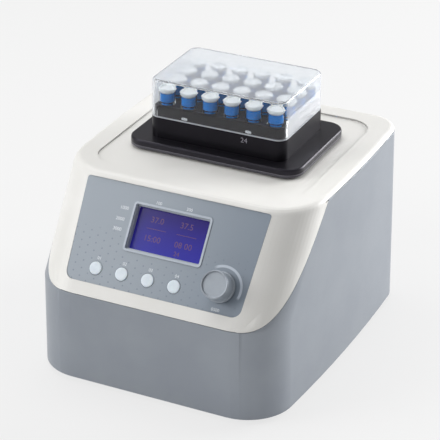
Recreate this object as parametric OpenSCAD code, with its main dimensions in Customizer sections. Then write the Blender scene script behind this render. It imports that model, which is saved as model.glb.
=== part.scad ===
// Thermal mixer for 24 tubes: a bench shaker with a heated block.
// X runs to the right, Y to the back, Z up. The origin is on the bench, under the middle of the case.

/* [Case] */
// Width of the case at its widest
case_w = 211; // [200:1:230]
// Depth of the case
case_d = 243; // [236:1:270]
// Height of the case above its feet
case_h = 147; // [140:0.2:156]
// Radius of the upright front corners
front_r = 37; // [30:1:40]
// Radius of the upright back corners
back_r = 23; // [20:1:36]
// Radius of the gently bowed sides, seen from above
side_r = 1500; // [1200:50:3000]
// Place of the widest point, behind the middle
bow_y = 24; // [0:1:40]
// Wall of the lower housing
wall = 3; // [2:0.25:4]
// How far each side leans in from the base to the top
side_lean = 2.4; // [1:0.2:4]
// Rounding along the rim of the top cover
rim_r = 4; // [2:0.5:6]
// Dark gap between the cover and the housing
seam_gap = 0.4; // [0.2:0.1:0.8]

/* [Cover] */
// Height of the seam at the front, above the feet
seam_front_h = 72; // [64:0.2:78]
// How far the side seam lies below the top
seam_side_drop = 3.5; // [2:0.25:4]
// Slope of the control fascia from level
fascia_tilt = 54; // [48:0.5:58]
// Width of the cover's band beside the fascia, at the top
band_w = 36; // [30:1:42]
// Thickness of the fascia wall
fascia_wall = 5; // [4:0.25:7]
// Clearance of the cover's lip inside the housing
lip_gap = 0.3; // [0.2:0.05:0.6]
// Thickness of that lip
lip_t = 1.6; // [1.2:0.1:2.4]
// Depth that the lip reaches below the seam
lip_h = 4; // [3:0.5:7]
// Width of the shallow tray in the top
tray_w = 170; // [155:1:177]
// Depth of that tray, front to back
tray_d = 155; // [140:0.5:158]
// Corner radius of the tray
tray_r = 20; // [12:1:28]
// How deep the tray is sunk
tray_sink = 1.4; // [0.8:0.2:2]
// Thickness of the tray's floor
tray_floor = 2.8; // [2:0.2:4]
// Width of the opening for the shaker's pillars
hatch_w = 92; // [84:1:100]
// Depth of that opening
hatch_d = 58; // [52:1:64]

/* [Control panel] */
// Width of the panel at its lower edge
panel_w_low = 142; // [138:1:148]
// Width of the panel at its upper edge
panel_w_top = 150; // [146:1:156]
// Distance of the panel's lower edge up the slope
panel_low = 10.6; // [9:0.2:14]
// Length of the panel up the slope
panel_l = 78.4; // [74:0.2:79]
// Thickness of the panel plate
panel_t = 1.6; // [1.2:0.1:2]
// How deep its face lies below the fascia
panel_sink = 1; // [0.6:0.1:1.4]
// Width of the display window
window_w = 60.6; // [56:0.2:64]
// Height of the display window
window_h = 34.2; // [30:0.2:36]
// Distance of the window's middle up the slope
window_v = 58.6; // [56:0.2:60]
// Width of the light border round the window
bezel_w = 1.6; // [1:0.1:2.4]
// Depth of the display glass below the panel's face
glass_depth = 5.4; // [4.6:0.2:6]

/* [Buttons and knob] */
// Diameter of a push button
button_dia = 10; // [8:0.5:11]
// Distance between neighbouring buttons
button_pitch = 21.4; // [18:0.2:22]
// Place of the first button, left of the middle
button_x = 48.6; // [44:0.1:54]
// Distance of the buttons up the slope
button_v = 22.4; // [21:0.2:24]
// How far a button stands proud of the panel
button_proud = 0.8; // [0.8:0.1:1.4]
// Travel of a button
button_travel = 0.7; // [0.4:0.1:0.7]
// Clearance round a button
button_gap = 0.3; // [0.2:0.05:0.5]
// Diameter of the control knob
knob_dia = 21; // [18:0.5:23]
// Height of the knob
knob_h = 12.9; // [10:0.1:16]
// Place of the knob, right of the middle
knob_x = 51.4; // [48:0.2:54]
// Distance of the knob up the slope
knob_v = 29.8; // [27:0.2:32]
// Diameter of the encoder's shaft
shaft_dia = 6; // [5:0.5:6]
// Travel of the knob when it is pressed
knob_travel = 0.6; // [0.4:0.1:0.7]

/* [Rear] */
// How far the flange of the mains inlet stands proud
flange_t = 2; // [1.6:0.1:2.6]
// Place of the mains inlet, right of the middle
inlet_x = 30; // [26:1:34]
// Height of the middle of the inlet above the feet
inlet_h = 36; // [34:1:44]
// Place of the power switch, right of the middle
switch_x = 61; // [59:0.5:62]
// Width of the fan's square frame
fan_w = 60; // [50:1:60]
// Depth of the fan
fan_t = 15; // [12:1:20]
// Place of the fan, left of the middle
fan_x = 42; // [38:1:43]
// Height of the fan's axis above the feet
fan_h = 46; // [40:1:60]

/* [Shaker drive] */
// Distance of the drive's axis behind the middle of the case
drive_y = 28.8; // [24:0.2:32]
// Radius of the orbit
orbit_r = 1.5; // [1:0.25:2]
// Diameter of the drive shaft
drive_dia = 10; // [8:1:10]
// Diameter of the eccentric pin
pin_dia = 8; // [6:1:8]
// Distance of each idler crank from the drive's axis
idler_x = 48; // [46:1:52]
// Running clearance of the shafts, on the radius
run_gap = 0.05; // [0.02:0.01:0.08]

/* [Platform] */
// Width of the black platform
platform_w = 143; // [136:0.5:148]
// Depth of the platform
platform_d = 96.2; // [90:0.2:100]
// Corner radius of the platform
platform_r = 14; // [10:1:18]
// Thickness of the platform
platform_t = 7; // [6.4:0.2:8]
// Gap between the platform and the tray below it
platform_gap = 1.2; // [0.8:0.1:2]

/* [Tube block] */
// Columns of wells
columns = 6; // [4:1:6]
// Rows of wells
rows = 4; // [2:1:4]
// Distance between neighbouring wells
well_pitch = 18; // [17.4:0.2:18]
// Outer diameter of a sample tube
tube_dia = 10.8; // [10:0.1:11]
// Clearance of a tube in its well, on the radius
tube_gap = 0.15; // [0.1:0.05:0.3]
// Width of the block's foot
block_w = 112.5; // [111:0.5:114]
// Depth of the block's foot
block_d = 75; // [73:0.5:76]
// Corner radius of the block
block_r = 8; // [5:0.5:10]
// Height of the block up to the ledge that carries the lid
ledge_h = 16.7; // [14:0.1:18]
// Height of the block above that ledge
crown_h = 9.5; // [8:0.1:11]

/* [Lid] */
// Height of the clear lid
lid_h = 30.2; // [29:0.2:34]
// Wall of the lid
lid_t = 1.8; // [1.4:0.1:2]
// How much each side of the lid leans in at the top
lid_lean = 0.5; // [0.2:0.1:1]
// Gap between the lid and the block inside it
lid_gap = 0.5; // [0.35:0.05:0.7]

/* [Feet] */
// Height of the rubber feet
foot_h = 4; // [3:0.5:8]
// Diameter of the rubber feet
foot_dia = 18; // [14:1:22]

/* [Hidden] */
$fn = 96;

// Case: where its faces lie
front_y = -(case_d + flange_t) / 2;
back_y = front_y + case_d;
case_z = foot_h;
top_z = foot_h + case_h;
seam_z = foot_h + seam_front_h;
side_seam_z = top_z - seam_side_drop;
side_cx = case_w / 2 - side_r;
slice_t = 0.01;
draft = 0.1;
cover_wall = wall + lip_gap + lip_t;
fascia_inset = fascia_wall / sin(fascia_tilt);
tray_z = top_z - tray_sink;
ceiling_z = tray_z - tray_floor;
tray_back = 17.5;
tray_y = back_y - tray_back - tray_d / 2;

// Base plate and its fasteners
plate_t = 2;
plate_gap = 0.4;
plate_top = case_z + plate_t;
boss_dia = 9;
boss_h = 26;
boss_xy = [90, 84];
foot_xy = [80, 98];
foot_stem_dia = 6;
screw_dia = 3;
screw_fit = 0.05;
head_dia = 6;
head_h = 1.8;
tab_z = plate_top + 90;
tab_t = 4;
tab_x = 86;
tab_ys = [-30, 84];

// Fascia: heights below are along its normal, with 0 at the outer face
panel_z = -panel_sink - panel_t;
panel_gap = 0.15;
panel_ledge = 4;
panel_low_r = 7;
panel_top_r = 2;
window_r = 1.2;
bezel_proud = 0.6;
bezel_gap = 0.1;
glass_z = -panel_sink - glass_depth;
board_top = -panel_sink - 8.6;
board_t = 1.6;
board_w = 164;
board_low = 14;
board_l = 72;
post_dia = 7;
post_x = board_w / 2 - 5;
post_vs = [board_low + 8, board_low + board_l - 8];
button_xs = [for (i = [0:3]) i * button_pitch - button_x];
bushing_dia = shaft_dia + 1;
encoder_w = 12;
encoder_top = -3.6;
knob_z = knob_travel + 0.5 - panel_sink;

// Drive, from the base up
chassis_w = 120;
chassis_d = 84;
chassis_t = 3;
chassis_flange = 8;
chassis_z = plate_top + 56;
chassis_top = chassis_z + chassis_t;
motor_dia = 62;
motor_h = 40;
motor_z = chassis_z - motor_h;
can_t = 2;
can_floor = 4;
end_cup_h = 4;
winding_h = motor_h - 2 * can_floor - 6;
winding_z = motor_z + can_floor + 3;
shaft_low = motor_z - end_cup_h + 0.5;
bearing_top = chassis_top + 36;
main_bearing_dia = 30;
main_bearing_w = 9;
end_bearing_dia = 22;
end_bearing_w = 7;
counter_z = bearing_top + 1.5;
counter_t = 8;
collar_z = counter_z + counter_t;
collar_t = 2;
pin_z = collar_z + collar_t;
pin_h = 14;
post_top = collar_z - 0.5;
idler_dia = pin_dia;
idler_pin_dia = 6;
carriage_t = 6;
pillar_dia = 12;
pillar_xy = [36, 18];
platform_z = tray_z + platform_gap;
platform_top = platform_z + platform_t;
pillar_h = 14.2;
carriage_z = platform_z - pillar_h - carriage_t;
hub_z = pin_z + 1;
ecc_bearing_dia = 22;
ecc_bearing_w = 8;

// Heater and block
heater_w = 104;
heater_d = 66;
heater_t = 4;
pad_t = 1;
heater_gap = 0.2;
heater_z = platform_top - heater_t;
ledge_z = platform_top + ledge_h;
crown_z = ledge_z + crown_h;
well_r = tube_dia / 2 + tube_gap;
well_floor = 2.2;
tube_low = platform_top + well_floor + tube_gap;
tube_proud = 7.6;
tube_top = crown_z + tube_proud;
tube_wall = 1;
collar_r = 6.2;
collar_wall = 0.6;
liquid_gap = 0.1;
cap_dia = 13.4;
cap_h = 4.8;
plug_h = 1;
lid_top = ledge_z + lid_h;
detent_w = 5;
detent_h = 2.2;
detent_x = 26.5;
block_screw_x = well_pitch * 2;

// Rear panel
inlet_z = case_z + inlet_h;
inlet_w = 27;
inlet_l = 46;
inlet_depth = 28;
socket_w = 24.2;
socket_l = 16.4;
socket_depth = 17;
socket_z = inlet_z - 9;
fuse_w = 22;
fuse_l = 9;
fuse_depth = 22;
fuse_z = inlet_z + 13;
fuse_gap = 0.3;
rocker_tilt = 8;
rocker_w = 10.4;
rocker_gap = 0.3;
rocker_pivot_y = back_y - 5;
fan_z = case_z + fan_h;
fan_bore = fan_w / 2 - 1.6;
fan_y = back_y - wall - draft - fan_t;

// The sloping front face, at height z
function front_at(z) = front_y + max(0, z - seam_z) / tan(fascia_tilt);

// How far the sides have leaned in at height z
function lean(z) = side_lean * (z - case_z) / case_h;

// Half the width of the case at y and z, along its bowed sides
function side_at(y, z) = side_cx + sqrt(pow(side_r, 2) - pow(y - bow_y, 2)) - lean(z);

// Points of an arc round c, from its point number first on
function arc(c, r, from, to, n, first = 0) =
    [for (i = [first:n]) c + r * [cos(from + (to - from) * i / n), sin(from + (to - from) * i / n)]];

// Outline of the case at height z: bowed sides, round corners, its front face at front + inset
function plan_points(inset, front, z = case_z) =
    let (fy = front + front_r,
         fx = side_cx + sqrt(pow(side_r - front_r, 2) - pow(fy - bow_y, 2)),
         by = back_y - back_r,
         bx = side_cx + sqrt(pow(side_r - back_r, 2) - pow(by - bow_y, 2)),
         fa = atan2(fy - bow_y, fx - side_cx),
         ba = atan2(by - bow_y, bx - side_cx),
         right = concat(arc([fx, fy], front_r - inset, -90, fa, 16),
                        arc([side_cx, bow_y], side_r - inset, fa, ba, 8, 1),
                        arc([bx, by], back_r - inset, ba, 90, 12, 1)))
    concat([for (p = right) [p[0] - lean(z), p[1]]],
           [for (i = [len(right) - 1:-1:0]) [lean(z) - right[i][0], right[i][1]]]);

// One round corner at b, between its neighbours a and c
function round_corner(a, b, c, r, n = 8) =
    let (u = (a - b) / norm(a - b),
         v = (c - b) / norm(c - b),
         half = acos(u * v) / 2,
         m = b + (u + v) / norm(u + v) * r / sin(half),
         p = b + u * r / tan(half) - m,
         q = b + v * r / tan(half) - m,
         from = atan2(p[1], p[0]),
         turn = atan2(p[0] * q[1] - p[1] * q[0], p * q))
    arc(m, r, from, from + turn, n);

// Cubic curve between a and d with the handles b and c
function curve(a, b, c, d, n) =
    [for (i = [0:n]) let (t = i / n, s = 1 - t)
        s * s * s * a + 3 * s * s * t * b + 3 * s * t * t * c + t * t * t * d];

// The seam seen from the side: level at the front, up beside the fascia, level along the side
function seam_points(lift) =
    let (a = [front_y, seam_z + lift],
         m = a + [7, 5],
         d = [front_at(side_seam_z) + band_w, side_seam_z + lift])
    concat([[front_y - 20, seam_z + lift]],
           curve(a, a + [3, 0], m - [2, 1.9], m, 5),
           [for (i = [1:14]) curve(m, m + [18, 17.1], d - [35, 38.5], d, 14)[i]],
           [[back_y + 20, side_seam_z + lift]]);

module rounded_rect(w, d, r) {
    square([w - 2 * r, d], center = true);
    square([w, d - 2 * r], center = true);
    for (x = [-1, 1], y = [-1, 1])
        translate([x * (w / 2 - r), y * (d / 2 - r)]) circle(r);
}

// A level slice of the case at height z
module slice(z, inset, front) {
    translate([0, 0, z]) linear_extrude(slice_t) polygon(plan_points(inset, front, z));
}

// The form of the case, with its walls moved in by inset and its front by front_inset
module case_form(inset = 0, front_inset = 0, low = case_z, high = top_z, rim = 0) {
    hull() {
        slice(low, inset + draft, front_y + front_inset - inset);
        slice(seam_z, inset, front_y + front_inset - inset);
        for (a = [0:22.5:(rim > 0 ? 90 : 0)])
            slice(high - rim * (1 - sin(a)) - slice_t, inset + draft + rim * (1 - cos(a)),
                  front_at(high - rim * (1 - sin(a))) + front_inset - inset);
    }
}

// Everything above the seam, or below it
module above_seam(lift) {
    rotate([90, 0, 90]) linear_extrude(case_w + 20, center = true)
        polygon(concat(seam_points(lift), [[back_y + 20, top_z + 20], [front_y - 20, top_z + 20]]));
}

module below_seam() {
    rotate([90, 0, 90]) linear_extrude(case_w + 20, center = true)
        polygon(concat(seam_points(0), [[back_y + 20, case_z - 20], [front_y - 20, case_z - 20]]));
}

// Places its children on the sloping fascia: X right, Y up the slope, Z out of it
module on_fascia(x = 0, v = 0, h = 0) {
    translate([0, front_y, seam_z]) rotate([fascia_tilt, 0, 0]) translate([x, v, h]) children();
}

// Places its children on the back wall: X to the viewer's left, Y up, Z out of it
module on_back(x = 0, z = 0, y = back_y) {
    translate([x, y, z]) rotate([90, 0, 180]) children();
}

module ring(od, id, h) {
    difference() {
        cylinder(d = od, h = h);
        translate([0, 0, -1]) cylinder(d = id, h = h + 2);
    }
}

// A ball bearing with its two shields sunk a little
module bearing(od, id, w) {
    sink = 0.5;
    rim = (od - id) / 9;
    rotate_extrude()
        polygon([[id / 2, 0], [id / 2 + rim, 0], [id / 2 + rim, sink], [od / 2 - rim, sink],
                 [od / 2 - rim, 0], [od / 2, 0], [od / 2, w], [od / 2 - rim, w],
                 [od / 2 - rim, w - sink], [id / 2 + rim, w - sink], [id / 2 + rim, w], [id / 2, w]]);
}

// A pan-head screw, head down at z = 0 and its shank upwards
module screw(d, l, head = head_dia, h = head_h) {
    difference() {
        translate([0, 0, -h]) cylinder(d = head, h = h);
        translate([0, 0, -h - 1]) cylinder(d = head / 2, h = 1 + h / 2, $fn = 6);
    }
    cylinder(d = d, h = l);
}

module at_corners(xy, y = 0) {
    for (x = [-1, 1], s = [-1, 1])
        translate([x * xy[0], y + s * xy[1], 0]) children();
}

// Lower housing

module base_housing() {
    color("#8A8F98") {
        difference() {
            intersection() {
                case_form(rim = rim_r);
                below_seam();
            }
            case_form(inset = wall, front_inset = wall, low = case_z - 1, high = top_z + 1);
            fan_grille();
            on_back(-fan_x, fan_z) fan_holes(screw_dia + 0.4);
            translate([inlet_x, back_y - wall / 2, inlet_z])
                cube([inlet_w + 0.4, wall + 2, inlet_l + 0.4], center = true);
            translate([switch_x, back_y - wall / 2, inlet_z])
                cube([13.4, wall + 2, 19.4], center = true);
        }
        for (x = [-1, 1], y = [-1, 1]) housing_boss(x, y * boss_xy[1]);
        for (x = [-1, 1], y = tab_ys) screw_tab(x, y);
    }
}

// Boss that takes a screw of the base plate, with a web to the side wall
module housing_boss(side, y) {
    web_t = 3;
    reach = side_at(y, plate_top + boss_h) - wall / 2 - boss_xy[0];
    difference() {
        translate([0, y, plate_top]) {
            translate([side * boss_xy[0], 0, 0]) cylinder(d = boss_dia, h = boss_h);
            translate([side * (boss_xy[0] + reach / 2), 0, boss_h / 2])
                cube([reach, web_t, boss_h], center = true);
        }
        translate([side * boss_xy[0], y, plate_top - 1])
            cylinder(d = screw_dia + 2 * screw_fit, h = boss_h - 4);
    }
}

// Tab inside the side wall that a boss of the cover stands on
module screw_tab(side, y) {
    reach = side_at(y, tab_z + tab_t) - wall / 2 - tab_x;
    translate([0, y, tab_z]) difference() {
        union() {
            translate([side * tab_x, 0, 0]) cylinder(d = boss_dia + 1, h = tab_t);
            translate([side * (tab_x + reach / 2), 0, tab_t / 2])
                cube([reach, boss_dia + 1, tab_t], center = true);
        }
        translate([side * tab_x, 0, -1]) cylinder(d = screw_dia + 0.4, h = tab_t + 2);
    }
}

module fan_grille() {
    slot = 3.6;
    pitch = 7.2;
    on_back(-fan_x, fan_z) translate([0, 0, -wall - 1]) linear_extrude(wall + 2)
        intersection() {
            circle(fan_bore - 1.4);
            for (i = [-3:3])
                translate([0, i * pitch]) rounded_rect(fan_w, slot, slot / 2 - 0.01);
        }
}

module fan_holes(d) {
    for (x = [-1, 1], y = [-1, 1])
        translate([x * (fan_w / 2 - 5), y * (fan_w / 2 - 5), -wall - 1]) cylinder(d = d, h = wall + 2);
}

module base_plate() {
    vent_w = 3;
    vent_l = 34;
    vent_pitch = 8;
    color("#B9BCC0") difference() {
        translate([0, 0, case_z]) linear_extrude(plate_t)
            polygon(plan_points(wall + plate_gap, front_y));
        at_corners(boss_xy) translate([0, 0, case_z - 1])
            cylinder(d = screw_dia + 0.4, h = plate_t + 2);
        at_corners(foot_xy) translate([0, 0, case_z - 1])
            cylinder(d = foot_stem_dia + 2 * screw_fit, h = plate_t + 2);
        for (side = [-1, 1], i = [-3:3])
            translate([side * 30 + i * vent_pitch * 0.9, -78, case_z - 1])
                linear_extrude(plate_t + 2) rounded_rect(vent_w, vent_l, vent_w / 2 - 0.01);
    }
}

module rubber_feet() {
    barb_dia = foot_stem_dia + 1.6;
    chamfer = 1.2;
    r = foot_dia / 2;
    color("#202022") at_corners(foot_xy) rotate_extrude()
        polygon([[0, 0], [r - chamfer, 0], [r, chamfer], [r, foot_h], [foot_stem_dia / 2, foot_h],
                 [foot_stem_dia / 2, plate_top], [barb_dia / 2, plate_top],
                 [foot_stem_dia / 2 - 0.6, plate_top + 3], [0, plate_top + 3]]);
}

module base_screws() {
    color("#9A9DA2") at_corners(boss_xy)
        translate([0, 0, case_z]) screw(screw_dia, boss_h - 8);
}

// Top cover

module top_cover() {
    color("#E6E6E2") difference() {
        union() {
            difference() {
                union() {
                    intersection() {
                        case_form(rim = rim_r);
                        above_seam(seam_gap);
                    }
                    intersection() {
                        case_form(inset = wall + lip_gap, front_inset = wall + lip_gap, high = top_z - rim_r);
                        above_seam(-lip_h);
                    }
                }
                case_form(inset = cover_wall, front_inset = fascia_inset, low = case_z - 1, high = ceiling_z);
            }
            cover_bosses();
            for (x = [-1, 1], v = post_vs)
                on_fascia(x * post_x, v, board_top) cylinder(d = post_dia, h = -fascia_wall - board_top);
        }
        translate([0, tray_y, tray_z]) linear_extrude(tray_sink + 1)
            rounded_rect(tray_w, tray_d, tray_r);
        translate([0, drive_y, ceiling_z - 1]) linear_extrude(tray_floor + 2)
            rounded_rect(hatch_w, hatch_d, 8);
        on_fascia(h = panel_z) linear_extrude(20) panel_outline(0);
        on_fascia(h = -20) linear_extrude(40) panel_outline(panel_ledge);
        for (x = [-1, 1], v = post_vs)
            on_fascia(x * post_x, v, board_top - 1) cylinder(d = 2.5 + 2 * screw_fit, h = 6);
        for (x = [-1, 1], y = tab_ys)
            translate([x * tab_x, y, tab_z + tab_t - 1]) cylinder(d = screw_dia + 2 * screw_fit, h = 12);
    }
}

// Bosses that hang from the ceiling of the cover down to the tabs
module cover_bosses() {
    base = tab_z + tab_t;
    for (x = [-1, 1], y = tab_ys)
        translate([x * tab_x, y, base]) cylinder(d = boss_dia, h = ceiling_z - base + 1);
}

module cover_screws() {
    color("#9A9DA2") for (x = [-1, 1], y = tab_ys)
        translate([x * tab_x, y, tab_z]) screw(screw_dia, 12);
}

// Control panel and display

// Outline of the panel, moved in by inset
module panel_outline(inset) {
    low = panel_low + inset;
    high = panel_low + panel_l - inset;
    a = panel_w_low / 2 - inset;
    b = panel_w_top / 2 - inset;
    low_left = [-a, low];
    low_right = [a, low];
    top_right = [b, high];
    top_left = [-b, high];
    polygon(concat(round_corner(top_left, low_left, low_right, panel_low_r),
                   round_corner(low_left, low_right, top_right, panel_low_r),
                   round_corner(low_right, top_right, top_left, panel_top_r, 4),
                   round_corner(top_right, top_left, low_left, panel_top_r, 4)));
}

module control_panel() {
    color("#98A1AB") on_fascia(h = panel_z) difference() {
        linear_extrude(panel_t) panel_outline(panel_gap);
        translate([0, window_v, -1]) linear_extrude(panel_t + 2)
            rounded_rect(window_w + 2 * (bezel_w + bezel_gap), window_h + 2 * (bezel_w + bezel_gap),
                         window_r + bezel_w);
        for (x = button_xs)
            translate([x, button_v, -1]) cylinder(d = button_dia + 2 * button_gap, h = panel_t + 2);
        translate([knob_x, knob_v, -1]) cylinder(d = bushing_dia + 0.4, h = panel_t + 2);
    }
}

module display_bezel() {
    color("#C3C8CE") on_fascia(v = window_v, h = panel_z) linear_extrude(panel_t + bezel_proud)
        difference() {
            rounded_rect(window_w + 2 * bezel_w, window_h + 2 * bezel_w, window_r + bezel_w);
            rounded_rect(window_w, window_h, window_r);
        }
}

module lcd_frame() {
    skirt = 5;
    inner = 1;
    color("#3A3E45") on_fascia(v = window_v, h = glass_z) linear_extrude(panel_z - glass_z)
        difference() {
            square([window_w + 2 * skirt, window_h + 2 * skirt], center = true);
            rounded_rect(window_w - 2 * inner, window_h - 2 * inner, window_r);
        }
}

module lcd_glass() {
    margin = 4;
    color("#3B33A8") on_fascia(v = window_v, h = board_top)
        translate([0, 0, (glass_z - board_top) / 2])
            cube([window_w + 2 * margin, window_h + 2 * margin, glass_z - board_top], center = true);
}

module display_board() {
    color("#1F6B45") on_fascia(v = board_low, h = board_top - board_t) difference() {
        translate([0, board_l / 2, board_t / 2]) cube([board_w, board_l, board_t], center = true);
        for (x = [-1, 1], v = post_vs)
            translate([x * post_x, v - board_low, -1]) cylinder(d = 2.9, h = board_t + 2);
    }
}

module board_screws() {
    color("#9A9DA2") for (x = [-1, 1], v = post_vs)
        on_fascia(x * post_x, v, board_top - board_t) screw(2.5, 6, 5, 1.6);
}

module tact_switches() {
    body_h = 3.5;
    tip_h = 0.5;
    color("#2B2B2E") for (x = button_xs) on_fascia(x, button_v, board_top) {
        translate([0, 0, body_h / 2]) cube([6, 6, body_h], center = true);
        cylinder(d = 3.4, h = body_h + tip_h);
    }
}

// A push button: a flat cap, a flange behind the panel and a stem
module button(index) {
    r = button_dia / 2;
    top = button_proud - panel_sink;
    flange = panel_z - button_gap;
    edge = 0.4;
    color("#DDE3EA") on_fascia(button_xs[index], button_v) rotate_extrude()
        polygon([[0, flange - 1.6], [1.6, flange - 1.6], [1.6, flange - 1], [r + 1.3, flange - 1],
                 [r + 1.3, flange], [r, flange], [r, top - edge], [r - edge * 0.3, top - edge * 0.3],
                 [r - edge, top], [0, top]]);
}

module button_1() { button(0); }
module button_2() { button(1); }
module button_3() { button(2); }
module button_4() { button(3); }

// Rotary encoder and knob

module encoder_body() {
    color("#8D9096") on_fascia(knob_x, knob_v, board_top) difference() {
        union() {
            translate([0, 0, (encoder_top - board_top) / 2])
                cube([encoder_w, encoder_w, encoder_top - board_top], center = true);
            cylinder(d = bushing_dia, h = -panel_sink - 0.2 - board_top);
        }
        translate([0, 0, 0.6]) cylinder(d = shaft_dia + 3.2, h = 3.8);
        cylinder(d = shaft_dia + 2 * run_gap, h = 20);
    }
}

// Cup under the shaft that the press switch pushes back
module encoder_plunger() {
    low = board_top + 1.4;
    color("#D9D9D4") on_fascia(knob_x, knob_v, low) difference() {
        cylinder(d = shaft_dia + 2.4, h = 2);
        translate([0, 0, 1]) cylinder(d = shaft_dia + 2 * run_gap, h = 2);
    }
}

module encoder_shaft() {
    low = board_top + 2.7;
    color("#B8BBC0") on_fascia(knob_x, knob_v, low)
        cylinder(d = shaft_dia, h = knob_z + knob_h - 3 - low);
}

module control_knob() {
    r = knob_dia / 2;
    skirt_r = r + 1;
    skirt_h = 1.6;
    rim = 1.3;
    dish = 1.2;
    color("#8E949B") on_fascia(knob_x, knob_v, knob_z) rotate_extrude()
        polygon([[shaft_dia / 2 + run_gap, 2.4], [5.4, 2.4], [5.4, 0], [skirt_r, 0],
                 [skirt_r, skirt_h - 0.5], [skirt_r - 0.5, skirt_h], [r + 0.2, skirt_h],
                 [r, knob_h - 0.7], [r - 0.2, knob_h - 0.2], [r - 0.6, knob_h],
                 [r - rim, knob_h], [r - rim - 0.3, knob_h - dish],
                 [0, knob_h - dish], [0, knob_h - 2.8], [shaft_dia / 2 + run_gap, knob_h - 2.8]]);
}

// Electronics on the base

board_y = -66;
board_size = [116, 62];
board_z = plate_top + 10;
standoff_xy = [board_size[0] / 2 - 5, board_size[1] / 2 - 5];

module main_board() {
    top = board_z + board_t;
    transformer = [24, 22, 16];
    capacitor = [9, 14];
    processor = [16, 16, 2.4];
    sink = [22, 40, 2];
    fin = [1.4, sink[1], 12];
    plug = [14, 6, 8];
    color("#1F6B45") translate([0, board_y, 0]) difference() {
        translate([0, 0, board_z + board_t / 2])
            cube([board_size[0], board_size[1], board_t], center = true);
        at_corners(standoff_xy) translate([0, 0, board_z - 1]) cylinder(d = 3.2, h = board_t + 2);
    }
    color("#4A4A50") translate([0, board_y, top]) {
        translate([-38, -4, transformer[2] / 2]) cube(transformer, center = true);
        for (i = [0:3])
            translate([-16, 18 - i * 12, 0]) cylinder(d = capacitor[0], h = capacitor[1]);
        translate([8, 0, processor[2] / 2]) cube(processor, center = true);
        translate([34, 0, sink[2] / 2]) cube(sink, center = true);
        for (i = [-2:2])
            translate([34 + i * 4, 0, sink[2] + fin[2] / 2]) cube(fin + [0, 0, 0.2], center = true);
        for (x = [-30, 0, 26])
            translate([x, 26, plug[2] / 2]) cube(plug, center = true);
    }
}

module board_standoffs() {
    post = 6;
    nut = [5.5, 2];
    color("#C9B06A") translate([0, board_y, 0]) at_corners(standoff_xy) {
        translate([0, 0, plate_top]) cylinder(d = post, h = board_z - plate_top, $fn = 6);
        translate([0, 0, board_z - 0.5]) cylinder(d = screw_dia, h = board_t + nut[1] + 1);
        translate([0, 0, board_z + board_t]) cylinder(d = nut[0], h = nut[1], $fn = 6);
    }
}

// Shaker drive

module at_drive(x = 0, z = 0) {
    translate([x, drive_y, z]) children();
}

module chassis() {
    flange = chassis_flange;
    a = chassis_w / 2;
    color("#A9ACB1") difference() {
        at_drive() rotate([90, 0, 0]) linear_extrude(chassis_d, center = true)
            polygon([[-a - flange, plate_top], [-a, plate_top], [-a + chassis_t, plate_top],
                     [-a + chassis_t, chassis_z], [a - chassis_t, chassis_z], [a - chassis_t, plate_top],
                     [a + flange, plate_top], [a + flange, plate_top + chassis_t],
                     [a, plate_top + chassis_t], [a, chassis_top], [-a, chassis_top],
                     [-a, plate_top + chassis_t], [-a - flange, plate_top + chassis_t]]);
        at_drive(z = chassis_z - 1) cylinder(d = drive_dia + 10, h = chassis_t + 2);
        for (y = [-1, 1])
            at_drive(z = (plate_top + chassis_z) / 2) translate([0, y * chassis_d / 4, 0])
                rotate([0, 90, 0]) cylinder(d = 26, h = chassis_w + 2, center = true);
    }
}

module motor_housing() {
    color("#33363C") at_drive(z = motor_z) difference() {
        union() {
            cylinder(d = motor_dia, h = motor_h);
            translate([0, 0, -end_cup_h]) cylinder(d = end_bearing_dia + 6, h = end_cup_h + 1);
        }
        translate([0, 0, can_floor]) cylinder(d = motor_dia - 2 * can_t, h = motor_h - 2 * can_floor);
        translate([0, 0, -1]) cylinder(d = drive_dia + 10, h = motor_h + 2);
        translate([0, 0, -end_cup_h - 1]) cylinder(d = end_bearing_dia, h = end_bearing_w + 1);
    }
}

module motor_stator() {
    slots = 12;
    inner = 34;
    color("#B06A3A") at_drive(z = winding_z) difference() {
        cylinder(d = motor_dia - 2 * can_t, h = winding_h);
        translate([0, 0, -1]) cylinder(d = inner, h = motor_h);
        for (i = [0:slots - 1])
            rotate(i * 360 / slots) translate([inner / 2 + 4, 0, motor_h / 2 - 1])
                cube([10, 3, motor_h + 2], center = true);
    }
}

module motor_rotor() {
    color("#5B5F66") at_drive(z = winding_z) ring(32, drive_dia, winding_h);
}

module drive_shaft() {
    color("#C4C7CB") at_drive() {
        translate([0, 0, shaft_low]) cylinder(d = drive_dia, h = collar_z - shaft_low);
        translate([0, 0, collar_z]) cylinder(d = drive_dia + 6, h = collar_t);
        translate([orbit_r, 0, pin_z - 0.5]) cylinder(d = pin_dia, h = pin_h + 0.5);
    }
}

// Half disc that balances the offset of the load
module counterweight() {
    r = 30;
    hub = 20;
    color("#8C7B4A") at_drive(z = counter_z) linear_extrude(counter_t) difference() {
        union() {
            circle(d = hub);
            difference() {
                circle(r);
                translate([r, 0]) square(2 * r + 2, center = true);
                translate([0, r + 14]) square(2 * r, center = true);
                translate([0, -r - 14]) square(2 * r, center = true);
            }
        }
        circle(d = drive_dia);
    }
}

module main_bearings() {
    color("#D4D6D9") {
        at_drive(z = motor_z - end_cup_h) bearing(end_bearing_dia, drive_dia + 2 * run_gap, end_bearing_w);
        at_drive(z = bearing_top - main_bearing_w - 1)
            bearing(main_bearing_dia, drive_dia + 2 * run_gap, main_bearing_w);
    }
}

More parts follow.
